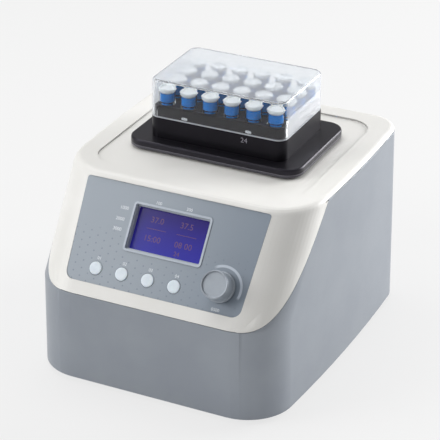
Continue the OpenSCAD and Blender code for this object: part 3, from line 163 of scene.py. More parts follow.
# Plain finishes
finishes = {
    # ABS, sprayed warm white: a fine even orange peel, soft broad sheen
    "coverSprayedAbs": {
        "colour": "#E6E5E2", "patch": "#E2E1DD", "patchMm": 60, "grainMm": 1.1, "reliefMm": 0.012,
        "roughness": (0.34, 0.44), "set": {"IOR": 1.5}},
    # steel shell, powder coated blue grey: fine grain and a low sheen
    "housingPowderCoat": {
        "colour": "#949AA2", "patch": "#8E949D", "patchMm": 45, "grainMm": 0.9, "reliefMm": 0.02,
        "roughness": (0.3, 0.4), "set": {"IOR": 1.5, "Metallic": 0.25}},
    # moulded light grey ABS round the window
    "bezelAbs": {
        "colour": "#B7BFC9", "patch": "#B0B9C4", "patchMm": 12, "grainMm": 0.8, "reliefMm": 0.006,
        "roughness": (0.3, 0.4)},
    # moulded grey ABS of the display's frame
    "frameAbs": {
        "colour": "#A9AFB6", "patch": "#A1A7AF", "patchMm": 9, "grainMm": 0.6, "reliefMm": 0.008,
        "roughness": (0.4, 0.52)},
    # moulded black polyamide of inlet, switch and fan: fine spark-eroded texture
    "blackPolyamide": {
        "colour": "#1C1C1E", "patch": "#222225", "patchMm": 10, "grainMm": 0.5, "reliefMm": 0.02,
        "roughness": (0.42, 0.58)},
    # moulded pale silicone of the buttons, matt and slightly cool
    "buttonSilicone": {
        "colour": "#E3E9F0", "patch": "#DCE3EB", "patchMm": 4, "grainMm": 0.5, "reliefMm": 0.008,
        "roughness": (0.38, 0.5), "set": {"Subsurface Weight": 0.08}},
    # white acetal of the encoder's plunger
    "whiteAcetal": {
        "colour": "#E4E4DF", "patch": "#DEDED8", "patchMm": 6, "grainMm": 0.6, "reliefMm": 0.004,
        "roughness": (0.35, 0.45)},
    # ABS knob, sprayed metallic grey: tiny flakes and a satin sheen
    "knobSprayedAbs": {
        "colour": "#9BA2AA", "patch": "#949BA4", "patchMm": 7, "grainMm": 0.35, "reliefMm": 0.006,
        "roughness": (0.32, 0.44), "set": {"Metallic": 0.3}},
    # cold-rolled steel sheet: rolled lines along its length
    "rolledSteel": {
        "colour": "#A9ACB0", "patch": "#9FA3A8", "patchMm": 30, "grainMm": 0.8, "reliefMm": 0.008,
        "stretch": (1, 0.04, 1), "roughness": (0.28, 0.42), "set": {"Metallic": 1.0}},
    # zinc-plated screw steel with a faint yellow cast
    "zincSteel": {
        "colour": "#B2B2AC", "patch": "#A4A5A2", "patchMm": 3, "grainMm": 0.4, "reliefMm": 0.006,
        "roughness": (0.25, 0.38), "set": {"Metallic": 1.0}},
    # ground shaft steel: fine rings round the shaft
    "groundSteel": {
        "colour": "#C6C9CC", "patch": "#BBBEC2", "patchMm": 8, "grainMm": 0.5, "reliefMm": 0.004,
        "stretch": (0.05, 0.05, 1), "roughness": (0.14, 0.26), "set": {"Metallic": 1.0}},
    # polished bearing steel
    "bearingSteel": {
        "colour": "#D2D4D6", "patch": "#C8CBCE", "patchMm": 6, "grainMm": 0.8, "reliefMm": 0.002,
        "roughness": (0.08, 0.18), "set": {"Metallic": 1.0}},
    # turned brass
    "turnedBrass": {
        "colour": "#C6A861", "patch": "#B99B56", "patchMm": 5, "grainMm": 0.5, "reliefMm": 0.004,
        "stretch": (0.1, 0.1, 1), "roughness": (0.2, 0.34), "set": {"Metallic": 1.0}},
    # enamelled copper winding: wires 0.8 mm thick, one beside the next
    "copperWinding": {
        "colour": "#B0622F", "patch": "#8E4A22", "patchMm": 4, "grainMm": 0.8, "reliefMm": 0.15,
        "stretch": (0.1, 0.1, 1), "roughness": (0.25, 0.45), "set": {"Metallic": 0.9}},
    # black stove enamel on the motor can
    "motorEnamel": {
        "colour": "#2B2E33", "patch": "#25282D", "patchMm": 20, "grainMm": 1.2, "reliefMm": 0.02,
        "roughness": (0.3, 0.44)},
    # iron laminations of the rotor: sheets 0.5 mm thick
    "ironLaminations": {
        "colour": "#5C6067", "patch": "#50545A", "patchMm": 6, "grainMm": 0.5, "reliefMm": 0.04,
        "stretch": (0.02, 0.02, 1), "roughness": (0.4, 0.55), "set": {"Metallic": 1.0}},
    # die-cast aluminium: a dull pitted skin
    "castAluminium": {
        "colour": "#A2A6AA", "patch": "#94989D", "patchMm": 9, "grainMm": 1.1, "reliefMm": 0.05,
        "roughness": (0.42, 0.58), "set": {"Metallic": 1.0}},
    # milled aluminium: cutter lines across the face
    "milledAluminium": {
        "colour": "#BCBFC3", "patch": "#B0B4B8", "patchMm": 14, "grainMm": 0.7, "reliefMm": 0.01,
        "stretch": (0.06, 1, 1), "roughness": (0.24, 0.38), "set": {"Metallic": 1.0}},
    # aluminium, bead blasted and anodised black: near black, fine grain, soft violet-grey sheen
    "blackAnodised": {
        "colour": "#0F0E11", "patch": "#121115", "patchMm": 22, "grainMm": 0.45, "reliefMm": 0.012,
        "roughness": (0.28, 0.4), "edgeMm": 0.35,
        "set": {"Specular IOR Level": 0.2, "Specular Tint": (0.86, 0.82, 1.0, 1.0)}},
    # moulded silicone of the heater pad, with the weave of its glass cloth pressed in
    "siliconePad": {
        "colour": "#A24733", "patch": "#96402E", "patchMm": 8, "grainMm": 1.2, "reliefMm": 0.05,
        "roughness": (0.55, 0.7)},
    # black moulded rubber of the feet
    "footRubber": {
        "colour": "#1A1A1B", "patch": "#202021", "patchMm": 6, "grainMm": 0.6, "reliefMm": 0.03,
        "roughness": (0.6, 0.78)},
    # PVC insulation of the leads, brown
    "leadPvc": {
        "colour": "#4A3126", "patch": "#412A20", "patchMm": 10, "grainMm": 0.8, "reliefMm": 0.006,
        "roughness": (0.35, 0.48)},
    # polypropylene of the caps: milky, lets some light through
    "capPolypropylene": {
        "colour": "#F4F7F9", "patch": "#EDF2F6", "patchMm": 5, "grainMm": 0.7, "reliefMm": 0.004,
        "roughness": (0.28, 0.38), "set": {"Transmission Weight": 0.25, "IOR": 1.49}},
    # clear polypropylene of the tubes: a thin hazy wall
    "tubePolypropylene": {
        "colour": "#EEF4F8", "patch": "#E6EEF4", "patchMm": 6, "grainMm": 0.8, "reliefMm": 0.003,
        "roughness": (0.04, 0.1), "set": {"Transmission Weight": 1.0, "IOR": 1.12}},
    # dyed water in the tubes
    "dyedWater": {
        "colour": "#0E93EE", "patch": "#0C84DE", "patchMm": 5, "grainMm": 2.0, "reliefMm": 0.002,
        "roughness": (0.1, 0.16), "set": {"IOR": 1.33, "Specular IOR Level": 0.2}},
    # white screen print on the panel
    "screenPrint": {
        "colour": "#E9EDF1", "patch": "#E2E7EC", "patchMm": 3, "grainMm": 0.4, "reliefMm": 0.002,
        "roughness": (0.45, 0.55)},
    # grey screen print on the block
    "greyPrint": {
        "colour": "#8E8C96", "patch": "#86848E", "patchMm": 3, "grainMm": 0.4, "reliefMm": 0.002,
        "roughness": (0.45, 0.55)},
}
material = {name: makeFinish(name, finish) for name, finish in finishes.items()}
print("finishes made:", len(material))

# The printed film of the panel: blue grey, with painted shade darkening it to the right, staggered dots and
# an arc round the knob
panelPrint = {
    "base": "#98A1AB",
    # the colour that the painted shade darkens the film to at the right
    "right": "#7F8A97",
    "paintedShadeMm": (-40.0, 90.0),
    "dots": "#77818D",
    "dotStepMm": (6.0, 2.9),
    "dotRadiusMm": 0.6,
    "dotShare": 0.75,
    "dotsFadeMm": (46.5, 56.5),  # up the slope
    # how far the dots keep clear: from the window's middle across and up, and from a button's and the knob's
    "windowClearMm": (35.0, 21.5),
    "buttonClearMm": 7.2,
    "knobClearMm": 17.6,
    "clearFadeMm": (0.5, 0.3),  # over which the dots fade: at the window, and at a button or the knob
    "arc": "#BCC5D1",
    "arcMm": (14.6, 16.5),
    "arcDegrees": (-24, 128),
    "arcFade": (0.15, 0.3),  # radians over which its lower and its upper end fade
    "softMm": 0.15,  # of a printed edge
    "cloudMm": 50,
    "cloudShare": 0.3,
    "roughness": (0.34, 0.46),
    "grainMm": 0.6,
    "grainShare": 0.3,  # of the grain in the relief, beside the dots
    "reliefMm": 0.03,
}


def makePanelPrint(look):
    film, tree, shader, place = newMaterial("panelPrintedFilm", {"IOR": 1.5})
    across = addNode(tree, "SeparateXYZ", None, {0: place}).outputs[0]
    rise = addNode(tree, "VectorMath", {"operation": "DOT_PRODUCT"}, {0: place, 1: upSlope}).outputs["Value"]
    up = addNode(tree, "Math", {"operation": "ADD"}, {0: rise, 1: slopeOffset}).outputs[0]
    flat = addNode(tree, "CombineXYZ", None, {0: across, 1: up}).outputs[0]  # the place on the film

    def within(*limits):  # 1 where every value is past its soft limit, 0 where one isn't
        share = 1.0
        for value, low, high in limits:
            past = addNode(tree, "MapRange", {"interpolation_type": "SMOOTHSTEP"}, {
                "Value": value, "From Min": low, "From Max": high}).outputs[0]
            share = addNode(tree, "Math", {"operation": "MULTIPLY"}, {0: share, 1: past}).outputs[0]
        return share

    # Two grids of dots, each two steps wide and high, and one set between the other
    stepX, stepUp = look["dotStepMm"]
    toDot = 100.0
    for shift in ((stepX, 0, 0), (0, stepUp, 0)):
        moved = addNode(tree, "VectorMath", {"operation": "SUBTRACT"}, {0: flat, 1: shift}).outputs[0]
        cell = addNode(tree, "VectorMath", {"operation": "WRAP"}, {
            0: moved, 1: (stepX, stepUp, 1), 2: (-stepX, -stepUp, -1)}).outputs[0]
        distance = addNode(tree, "VectorMath", {"operation": "LENGTH"}, {0: cell}).outputs["Value"]
        toDot = addNode(tree, "Math", {"operation": "MINIMUM"}, {0: toDot, 1: distance}).outputs[0]

    offWindow = addNode(tree, "VectorMath", {"operation": "SUBTRACT"}, {
        0: flat, 1: (0, fascia["windowUp"], 0)})
    offWindow = addNode(tree, "VectorMath", {"operation": "ABSOLUTE"}, {0: offWindow.outputs[0]})
    pastWindow = addNode(tree, "VectorMath", {"operation": "SUBTRACT"}, {
        0: offWindow.outputs[0], 1: (*look["windowClearMm"], 0)})
    pastWindow = addNode(tree, "SeparateXYZ", None, {0: pastWindow.outputs[0]})
    pastWindow = addNode(tree, "Math", {"operation": "MAXIMUM"}, {
        0: pastWindow.outputs[0], 1: pastWindow.outputs[1]}).outputs[0]

    toButton = 100.0
    for i in range(fascia["buttonCount"]):
        middle = (fascia["buttonX"] + i * fascia["buttonPitch"], fascia["buttonUp"], 0)
        distance = addNode(tree, "VectorMath", {"operation": "DISTANCE"}, {
            0: flat, 1: middle}).outputs["Value"]
        toButton = addNode(tree, "Math", {"operation": "MINIMUM"}, {0: toButton, 1: distance}).outputs[0]

    offKnob = addNode(tree, "VectorMath", {"operation": "SUBTRACT"}, {
        0: flat, 1: (fascia["knobX"], fascia["knobUp"], 0)}).outputs[0]
    toKnob = addNode(tree, "VectorMath", {"operation": "LENGTH"}, {0: offKnob}).outputs["Value"]
    sides = addNode(tree, "SeparateXYZ", None, {0: offKnob})
    angle = addNode(tree, "Math", {"operation": "ARCTAN2"}, {
        0: sides.outputs[1], 1: sides.outputs[0]}).outputs[0]

    # A limit whose first number is the larger holds below it
    soft, radius = look["softMm"], look["dotRadiusMm"]
    clear, knobClear = look["buttonClearMm"], look["knobClearMm"]
    windowFade, fade = look["clearFadeMm"]
    fadeLow, fadeHigh = look["dotsFadeMm"]
    dots = within((toDot, radius + soft, radius - soft), (pastWindow, -windowFade, windowFade),
                  (toButton, clear - fade, clear + fade), (toKnob, knobClear - fade, knobClear + fade),
                  (up, fadeHigh, fadeLow))
    inner, outer = look["arcMm"]
    start, end = (math.radians(a) for a in look["arcDegrees"])
    startFade, endFade = look["arcFade"]
    arc = within((toKnob, inner - soft, inner + soft), (toKnob, outer + soft, outer - soft),
                 (angle, start, start + startFade), (angle, end, end - endFade))

    # Painted shade: the film darkens from left to right, with a faint cloud of uneven tone in it
    left, right = look["paintedShadeMm"]
    cloudShare = look["cloudShare"]
    cloud = addNode(tree, "TexNoise", None, {
        "Vector": place, "Scale": 1 / look["cloudMm"], "Detail": 2.0}).outputs["Fac"]
    paintedShadeAndCloud = addNode(tree, "MapRange", {"interpolation_type": "SMOOTHSTEP"}, {
        "Value": across, "From Min": left, "From Max": right,
        "To Min": -cloudShare / 2, "To Max": 1 - cloudShare / 2}).outputs[0]
    paintedShadeAndCloud = addNode(tree, "Math", {"operation": "MULTIPLY_ADD"}, {
        0: cloud, 1: cloudShare, 2: paintedShadeAndCloud}).outputs[0]
    inked = addNode(tree, "Math", {"operation": "MULTIPLY"}, {0: dots, 1: look["dotShare"]}).outputs[0]
    shade = linear(look["base"])
    for share, colour in ((paintedShadeAndCloud, look["right"]), (inked, look["dots"]), (arc, look["arc"])):
        shade = addNode(tree, "Mix", {"data_type": "RGBA"}, {
            "Factor": share, 6: shade, 7: linear(colour)}).outputs[2]
    feed(tree, shade, shader.inputs["Base Color"])

    grain = addNode(tree, "TexNoise", None, {
        "Vector": place, "Scale": 1 / look["grainMm"], "Detail": 3.0}).outputs["Fac"]
    roughen(tree, shader, grain, look["roughness"])
    height = addNode(tree, "Math", {"operation": "MULTIPLY"}, {0: grain, 1: look["grainShare"]}).outputs[0]
    height = addNode(tree, "Math", {"operation": "SUBTRACT"}, {0: height, 1: dots}).outputs[0]
    emboss(tree, shader, height, look)
    return film


material["panelPrintedFilm"] = makePanelPrint(panelPrint)

# The display: blue-violet liquid crystal lit from behind, darker towards its top with painted shade, and its
# fine grid of cells
displayLook = {
    "low": "#302F96",
    # painted shade: the colour at the top of the window, darker than at its foot
    "high": "#23125F",
    "grid": "#272575",
    "cellMm": 0.9,
    "gridFrom": 0.6,  # of the wave between two cells, above which it is a line
    "gridShare": 0.5,
    "halfHighMm": 17.0,
    "roughness": 0.18,
    "specular": 0.25,
    "glow": 0.35,
}


def makeDisplay(look):
    panel, tree, shader, place = newMaterial("backlitDisplay", {
        "Roughness": look["roughness"], "Specular IOR Level": look["specular"],
        "Emission Strength": look["glow"]})
    across = addNode(tree, "SeparateXYZ", None, {0: place}).outputs[0]
    up = addNode(tree, "VectorMath", {"operation": "DOT_PRODUCT"}, {0: place, 1: upSlope}).outputs["Value"]
    # Painted shade: the colour darkens up the window
    middle = fascia["windowUp"] - slopeOffset
    rise = addNode(tree, "MapRange", None, {
        "Value": up, "From Min": middle - look["halfHighMm"],
        "From Max": middle + look["halfHighMm"]}).outputs[0]
    shade = addNode(tree, "Mix", {"data_type": "RGBA"}, {
        "Factor": rise, 6: linear(look["low"]), 7: linear(look["high"])}).outputs[2]
    grid = -1.0
    for value in (across, up):
        turns = addNode(tree, "Math", {"operation": "MULTIPLY"}, {
            0: value, 1: 2 * math.pi / look["cellMm"]}).outputs[0]
        line = addNode(tree, "Math", {"operation": "COSINE"}, {0: turns}).outputs[0]
        grid = addNode(tree, "Math", {"operation": "MAXIMUM"}, {0: grid, 1: line}).outputs[0]
    grid = addNode(tree, "MapRange", None, {
        "Value": grid, "From Min": look["gridFrom"], "From Max": 1.0,
        "To Max": look["gridShare"]}).outputs[0]
    celled = addNode(tree, "Mix", {"data_type": "RGBA"}, {
        "Factor": grid, 6: shade, 7: linear(look["grid"])}).outputs[2]
    feed(tree, celled, shader.inputs["Base Color"])
    feed(tree, celled, shader.inputs["Emission Color"])
    return panel


material["backlitDisplay"] = makeDisplay(displayLook)

# Amber segments on the display, dim against the violet
segmentLook = {"colour": "#4E2A5C", "patch": "#5A3050", "patchMm": 1.5, "roughness": 0.3, "glow": 0.25}


def makeSegments(look):
    segments, tree, shader, place = newMaterial("amberSegments", {
        "Roughness": look["roughness"], "Emission Strength": look["glow"]})
    flicker = addNode(tree, "TexNoise", None, {"Vector": place, "Scale": 1 / look["patchMm"]}).outputs["Fac"]
    tint = addNode(tree, "Mix", {"data_type": "RGBA"}, {
        "Factor": flicker, 6: linear(look["colour"]), 7: linear(look["patch"])}).outputs[2]
    feed(tree, tint, shader.inputs["Base Color"])
    feed(tree, tint, shader.inputs["Emission Color"])
    return segments


material["amberSegments"] = makeSegments(segmentLook)

# Glass-epoxy circuit board under green solder mask: its tracks show as lighter lines
boardLook = {
    "mask": "#1C5C3B", "track": "#2C7A50", "roughness": 0.35, "meshMm": 7.0, "uneven": 0.4,
    "trackEdge": (0.04, 0.07),  # share of the mesh, from inside a track to outside it
    "reliefMm": 0.04, "strength": 0.6,
}


def makeBoard(look):
    board, tree, shader, place = newMaterial("solderMaskBoard", {"Roughness": look["roughness"]})
    cells = addNode(tree, "TexVoronoi", {"feature": "DISTANCE_TO_EDGE", "distance": "EUCLIDEAN"}, {
        "Vector": place, "Scale": 1 / look["meshMm"], "Randomness": look["uneven"]}).outputs["Distance"]
    inside, outside = look["trackEdge"]
    track = addNode(tree, "MapRange", None, {
        "Value": cells, "From Min": inside, "From Max": outside, "To Min": 1.0, "To Max": 0.0}).outputs[0]
    mask = addNode(tree, "Mix", {"data_type": "RGBA"}, {
        "Factor": track, 6: linear(look["mask"]), 7: linear(look["track"])}).outputs[2]
    feed(tree, mask, shader.inputs["Base Color"])
    emboss(tree, shader, track, look)
    return board


material["solderMaskBoard"] = makeBoard(boardLook)

# Cast acrylic of the lid: clear straight on, with a painted white reflection that grows where its face turns
# away, fine wiping marks, and a painted highlight along its rim
acrylicLook = {
    "tint": "#FAFCFD",
    "paintedSheenWhite": "#DFE3EA",
    "paintedSheen": 0.33,
    "clearBelow": 0.24,  # share of turning away up to which it stays clear
    "paintedSheenAbove": 0.62,
    "uneven": (0.97, 1.03),
    "marksMm": 6.0,
    "roughness": (0.02, 0.06),
    "rimHighlightMm": (174.9, 175.5),  # heights between which the painted highlight on the polished rim fades
    "rimHighlight": 0.75,
}


def makeAcrylic(look):
    acrylic, tree, shader, place = newMaterial("castAcrylic", {
        "Base Color": linear(look["tint"]), "Transmission Weight": 1.0, "IOR": 1.35})
    marks = addNode(tree, "TexNoise", None, {
        "Vector": place, "Scale": 1 / look["marksMm"], "Detail": 4.0}).outputs["Fac"]
    roughen(tree, shader, marks, look["roughness"])
    # Painted reflection: white diffuse mixed in as the face turns away from the view, uneven with the wiping
    # marks
    facing = addNode(tree, "LayerWeight", None, {"Blend": 0.5}).outputs["Facing"]
    paintedSheen = addNode(tree, "MapRange", {"interpolation_type": "SMOOTHSTEP"}, {
        "Value": facing, "From Min": look["clearBelow"], "From Max": look["paintedSheenAbove"],
        "To Max": look["paintedSheen"]}).outputs[0]
    low, high = look["uneven"]
    uneven = addNode(tree, "MapRange", None, {
        "Value": marks, "From Min": 0.3, "From Max": 0.7, "To Min": low, "To Max": high}).outputs[0]
    paintedSheen = addNode(tree, "Math", {"operation": "MULTIPLY"}, {0: paintedSheen, 1: uneven}).outputs[0]
    # Painted highlight: white along the bottom rim
    height = addNode(tree, "SeparateXYZ", None, {0: place}).outputs[2]
    low, high = look["rimHighlightMm"]
    rim = addNode(tree, "MapRange", None, {
        "Value": height, "From Min": low, "From Max": high,
        "To Min": look["rimHighlight"], "To Max": 0.0}).outputs[0]
    paintedSheen = addNode(tree, "Math", {"operation": "MAXIMUM"}, {0: paintedSheen, 1: rim}).outputs[0]
    paintedSheenWhite = addNode(tree, "BsdfDiffuse", None, {"Color": linear(look["paintedSheenWhite"])})
    mixed = addNode(tree, "MixShader", None, {0: paintedSheen, 1: shader.outputs[0], 2: paintedSheenWhite.outputs[0]})
    feed(tree, mixed.outputs[0], tree.nodes["Material Output"].inputs["Surface"])
    return acrylic


material["castAcrylic"] = makeAcrylic(acrylicLook)

# The platform: a black anodised plate with a grey band along the foot of its side, and a painted highlight
# line where they meet
platformLook = {
    "black": "#131216",
    "lowerGrey": "#4E4D53",
    # painted highlight: the light line between the black and the grey band
    "line": "#7C7B81",
    "greyBelowMm": 153.0,
    "highlightLineMm": 0.3,
    "grainMm": 0.45,
    "reliefMm": 0.012,
    "edgeMm": 0.35,
    "roughness": (0.28, 0.40),
}


def makePlatform(look):
    plates, tree, shader, place = newMaterial("platformPlates", {
        "Specular IOR Level": 0.4, "Specular Tint": (0.86, 0.82, 1.0, 1.0)})
    height = addNode(tree, "SeparateXYZ", None, {0: place}).outputs[2]
    share = addNode(tree, "MapRange", None, {
        "Value": height, "From Min": look["greyBelowMm"] - 1, "From Max": look["greyBelowMm"] + 1}).outputs[0]
    layers = addNode(tree, "ValToRGB", None, {0: share})
    ramp = layers.color_ramp
    ramp.interpolation = "CONSTANT"
    ramp.elements[0].color = linear(look["lowerGrey"])
    ramp.elements[1].position = 0.5 + look["highlightLineMm"] / 2
    ramp.elements[1].color = linear(look["black"])
    # painted highlight line between the black and the grey band
    line = ramp.elements.new(0.5)
    line.color = linear(look["line"])
    feed(tree, layers.outputs[0], shader.inputs["Base Color"])
    grain = addNode(tree, "TexNoise", None, {
        "Vector": place, "Scale": 1 / look["grainMm"], "Detail": 4.0}).outputs["Fac"]
    roughen(tree, shader, grain, look["roughness"])
    emboss(tree, shader, grain, look)
    return plates


material["platformPlates"] = makePlatform(platformLook)
print("special finishes made")

# Which finish each node of the frame gets
nodeFinish = {
    "housingPowderCoat": ["base_housing"],
    "coverSprayedAbs": ["top_cover"],
    "panelPrintedFilm": ["control_panel"],
    "bezelAbs": ["display_bezel"],
    "frameAbs": ["lcd_frame"],
    "blackPolyamide": ["tact_switches", "power_inlet", "fuse_drawer", "switch_frame", "power_rocker",
                       "fan_frame", "fan_rotor"],
    "backlitDisplay": ["lcd_glass"],
    "solderMaskBoard": ["display_board", "main_board"],
    "buttonSilicone": ["button_1", "button_2", "button_3", "button_4"],
    "whiteAcetal": ["encoder_plunger"],
    "knobSprayedAbs": ["control_knob"],
    "rolledSteel": ["base_plate", "chassis", "power_supply", "encoder_body"],
    "zincSteel": ["base_screws", "cover_screws", "board_screws", "platform_screws", "block_screws",
                  "fan_screws"],
    "groundSteel": ["encoder_shaft", "drive_shaft", "idler_crank_left", "idler_crank_right",
                    "temperature_probe", "locating_pins", "lid_detents", "inlet_pins"],
    "bearingSteel": ["main_bearings", "eccentric_bearing"],
    "turnedBrass": ["board_standoffs", "counterweight"],
    "copperWinding": ["motor_stator"],
    "motorEnamel": ["motor_housing"],
    "ironLaminations": ["motor_rotor"],
    "castAluminium": ["bearing_housing", "idler_posts"],
    "milledAluminium": ["carriage", "platform_pillars", "heater_plate"],
    "platformPlates": ["shaker_platform"],
    "blackAnodised": ["tube_block"],
    "siliconePad": ["heater_pad"],
    "footRubber": ["rubber_feet"],
    "leadPvc": ["mains_leads"],
    "tubePolypropylene": ["sample_tubes"],
    "dyedWater": ["tube_liquid"],
    "capPolypropylene": ["tube_caps"],
    "castAcrylic": ["clear_lid"],
}
for finishName, names in nodeFinish.items():
    for name in names:
        cadNodes[name].data.materials.clear()
        cadNodes[name].data.materials.append(material[finishName])
missing = set(cadNodes) - {name for names in nodeFinish.values() for name in names}
print("nodes without a finish:", sorted(missing))

# Small helpers for pieces


def deselectAll():
    if bpy.context.mode != "OBJECT":
        bpy.ops.object.mode_set(mode="OBJECT")
    bpy.ops.object.select_all(action="DESELECT")


def pickOnly(piece):
    deselectAll()
    piece.select_set(True)
    bpy.context.view_layer.objects.active = piece


def selectWhere(kind, test):  # in edit mode: select the edges or faces that the test is true for
    mesh = bmesh.from_edit_mesh(bpy.context.edit_object.data)
    bpy.ops.mesh.select_all(action="DESELECT")
    bpy.ops.mesh.select_mode(type={"edges": "EDGE", "faces": "FACE"}[kind])
    for part in getattr(mesh, kind):
        part.select_set(bool(test(part)))
    mesh.select_flush_mode()
    bmesh.update_edit_mesh(bpy.context.edit_object.data)


def editAll(piece, *steps):  # run mesh operators on all of a piece
    pickOnly(piece)
    bpy.ops.object.mode_set(mode="EDIT")
    bpy.ops.mesh.select_all(action="SELECT")
    for step, settings in steps:
        step(**settings)
    bpy.ops.object.mode_set(mode="OBJECT")


# A turned solid: a disc drawn up and in, one step for each ring of (radius, height) in millimetres
def turned(name, rings, sides):
    deselectAll()
    bpy.ops.mesh.primitive_circle_add(
        vertices=sides, radius=rings[0][0] * mm, fill_type="NGON", location=(0, 0, rings[0][1] * mm))
    piece = bpy.context.object
    piece.name = name
    bpy.ops.object.transform_apply(location=True, rotation=True, scale=True)
    bpy.ops.object.mode_set(mode="EDIT")
    bpy.ops.mesh.select_mode(type="FACE")
    bpy.ops.mesh.select_all(action="SELECT")
    for (r0, z0), (r1, z1) in zip(rings, rings[1:]):
        bpy.ops.mesh.extrude_region_move(TRANSFORM_OT_translate={"value": (0, 0, (z1 - z0) * mm)})
        if r1 != r0:
            bpy.ops.transform.resize(value=(r1 / r0, r1 / r0, 1), center_override=(0, 0, z1 * mm))
    bpy.ops.mesh.select_all(action="SELECT")
    bpy.ops.mesh.normals_make_consistent(inside=False)
    bpy.ops.object.mode_set(mode="OBJECT")
    return piece


def smooth(piece, degrees):
    pickOnly(piece)
    bpy.ops.object.shade_smooth_by_angle(angle=math.radians(degrees))


def keepFlatsFlat(piece):  # large faces keep their own normals where a rounding meets them
    weigh = piece.modifiers.new("flats", "WEIGHTED_NORMAL")
    weigh.mode, weigh.weight, weigh.keep_sharp = "FACE_AREA", 100, True
    pickOnly(piece)
    bpy.ops.object.modifier_apply(modifier=weigh.name)


def dress(piece, finishName, body, *nodes):
    piece.data.materials.clear()
    piece.data.materials.append(material[finishName])
    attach(piece, body)
    if nodes:
        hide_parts(*nodes)


def settle(piece):  # the object goes to the origin, its place into its mesh
    pickOnly(piece)
    bpy.ops.object.transform_apply(location=True, rotation=True, scale=True)


def copyOf(piece, name):
    twin = piece.copy()
    twin.data = piece.data.copy()
    twin.name = name
    bpy.context.scene.collection.objects.link(twin)
    return twin


def soften(piece, widthMm):
    edge = piece.modifiers.new("softEdge", "BEVEL")
    edge.width = widthMm * mm
    edge.segments = 2
    edge.angle_limit = math.radians(50)
    pickOnly(piece)
    bpy.ops.object.modifier_apply(modifier=edge.name)


def joinAll(pieces, name):
    deselectAll()
    for piece in pieces:
        piece.select_set(True)
    bpy.context.view_layer.objects.active = pieces[0]
    bpy.ops.object.join()
    joined = bpy.context.object
    joined.name = name
    return joined


# Smooth shading on the nodes that stay
for node in cadNodes.values():
    smooth(node, 30)

# Front corners of the cover. The cover reaches further down beside the fascia than its solid does, so a
# piece on each side carries it on to its seam, and the housing is cut along the same line.
cornerLook = {
    "halfWidth": 105.5,
    "sideRadius": 1500.0,  # of the bowed sides, and where along y they are widest
    "bowY": 24.0,
    "frontRadius": 37.0,
    "backRadius": 23.0,
    "front": fascia["frontMm"],
    "back": 120.5,
    "low": 4.0,
    "tall": 147.0,
    "lean": 2.4,  # how far the sides lean in over the case's height
    "seam": fascia["seamMm"],
    "straightTop": 146.99,
    "skin": 0.015,  # insets of the new piece's outer and inner face
    "inner": 3.35,
    "ends": 0.1,  # more inset at the foot and the top, so that the seam stands proudest
    "gap": 0.4,  # between the housing and the new piece
    "overlap": 0.3,  # of the new piece over the solid cover
    "clearance": 3,  # that the housing is cut above the solid's seam
    "slabHalfWidth": 120,
    # the seam from the side, as the four handles of a curve in (y, z), and the solid's own seam
    "seamCurve": ((-121.0, 76.0), (-120.2, 76.0), (-96.6, 76.5), (-30.0, 147.5)),
    "solidSeam": ((-115.5, 81.0), (-97.5, 98.1), (-69.5, 109.0), (-34.5, 147.5)),
}


def caseOutline(look, inset, high):  # the case's outline at a height: front corner, bowed side, back corner
    front = look["front"] + max(0, high - look["seam"]) / math.tan(slopeTurn) + inset
    turn, back, bow, side = look["frontRadius"], look["backRadius"], look["bowY"], look["sideRadius"]
    middle = look["halfWidth"] - side
    frontY, backY = front - inset + turn, look["back"] - back
    frontX = middle + math.sqrt((side - turn) ** 2 - (frontY - bow) ** 2)
    backX = middle + math.sqrt((side - back) ** 2 - (backY - bow) ** 2)
    frontTurn = math.atan2(frontY - bow, frontX - middle)
    backTurn = math.atan2(backY - bow, backX - middle)
    arcs = [
        (frontX, frontY, turn, -math.pi / 2, frontTurn, 16),
        (middle, bow, side, frontTurn, backTurn, 8),
        (backX, backY, back, backTurn, math.pi / 2, 12),
    ]
    lean = look["lean"] * (high - look["low"]) / look["tall"]
    right = []
    for x, y, radius, start, end, steps in arcs:
        for i in range(1 if right else 0, steps + 1):
            a = start + (end - start) * i / steps
            right.append((x + (radius - inset) * math.cos(a) - lean, y + (radius - inset) * math.sin(a)))
    return [(x, y, high) for x, y in right] + [(-x, y, high) for x, y in reversed(right)]


def curvePoints(handles, steps):
    a, b, c, d = (Vector(handle) for handle in handles)
    points = []
    for i in range(steps + 1):
        t, s = i / steps, 1 - i / steps
        points.append(tuple(a * s ** 3 + b * 3 * s * s * t + c * 3 * s * t * t + d * t ** 3))
    return points


def fromPoints(name, points, faces):  # points in millimetres
    mesh = bpy.data.meshes.new(name)
    mesh.from_pydata([[part * mm for part in point] for point in points], [], faces)
    piece = bpy.data.objects.new(name, mesh)
    bpy.context.scene.collection.objects.link(piece)
    return piece


def caseHull(look, inset, name):  # the case from below its seam to where its rim starts to round
    points = []
    for high in (look["low"], look["seam"], look["straightTop"]):
        extra = 0 if high == look["seam"] else look["ends"]
        points += caseOutline(look, inset + extra, high)
    hull = fromPoints(name, points, [])
    editAll(hull, (bpy.ops.mesh.convex_hull, {}), (bpy.ops.mesh.normals_make_consistent, {"inside": False}))
    return hull


def acrossCase(look, outline, name):  # a slab from side to side with this outline in (y, z)
    count, half = len(outline), look["slabHalfWidth"]
    points = [(side, y, z) for side in (-half, half) for y, z in outline]
    ends = [list(range(count)), list(range(count, 2 * count))[::-1]]
    rim = [[i, count + i, count + (i + 1) % count, (i + 1) % count] for i in range(count)]
    slab = fromPoints(name, points, ends + rim)
    editAll(slab, (bpy.ops.mesh.normals_make_consistent, {"inside": False}))
    return slab


def cutBy(piece, tool, operation):
    cut = piece.modifiers.new("cut", "BOOLEAN")
    cut.operation, cut.object, cut.solver = operation, tool, "EXACT"
    pickOnly(piece)
    bpy.ops.object.modifier_apply(modifier=cut.name)


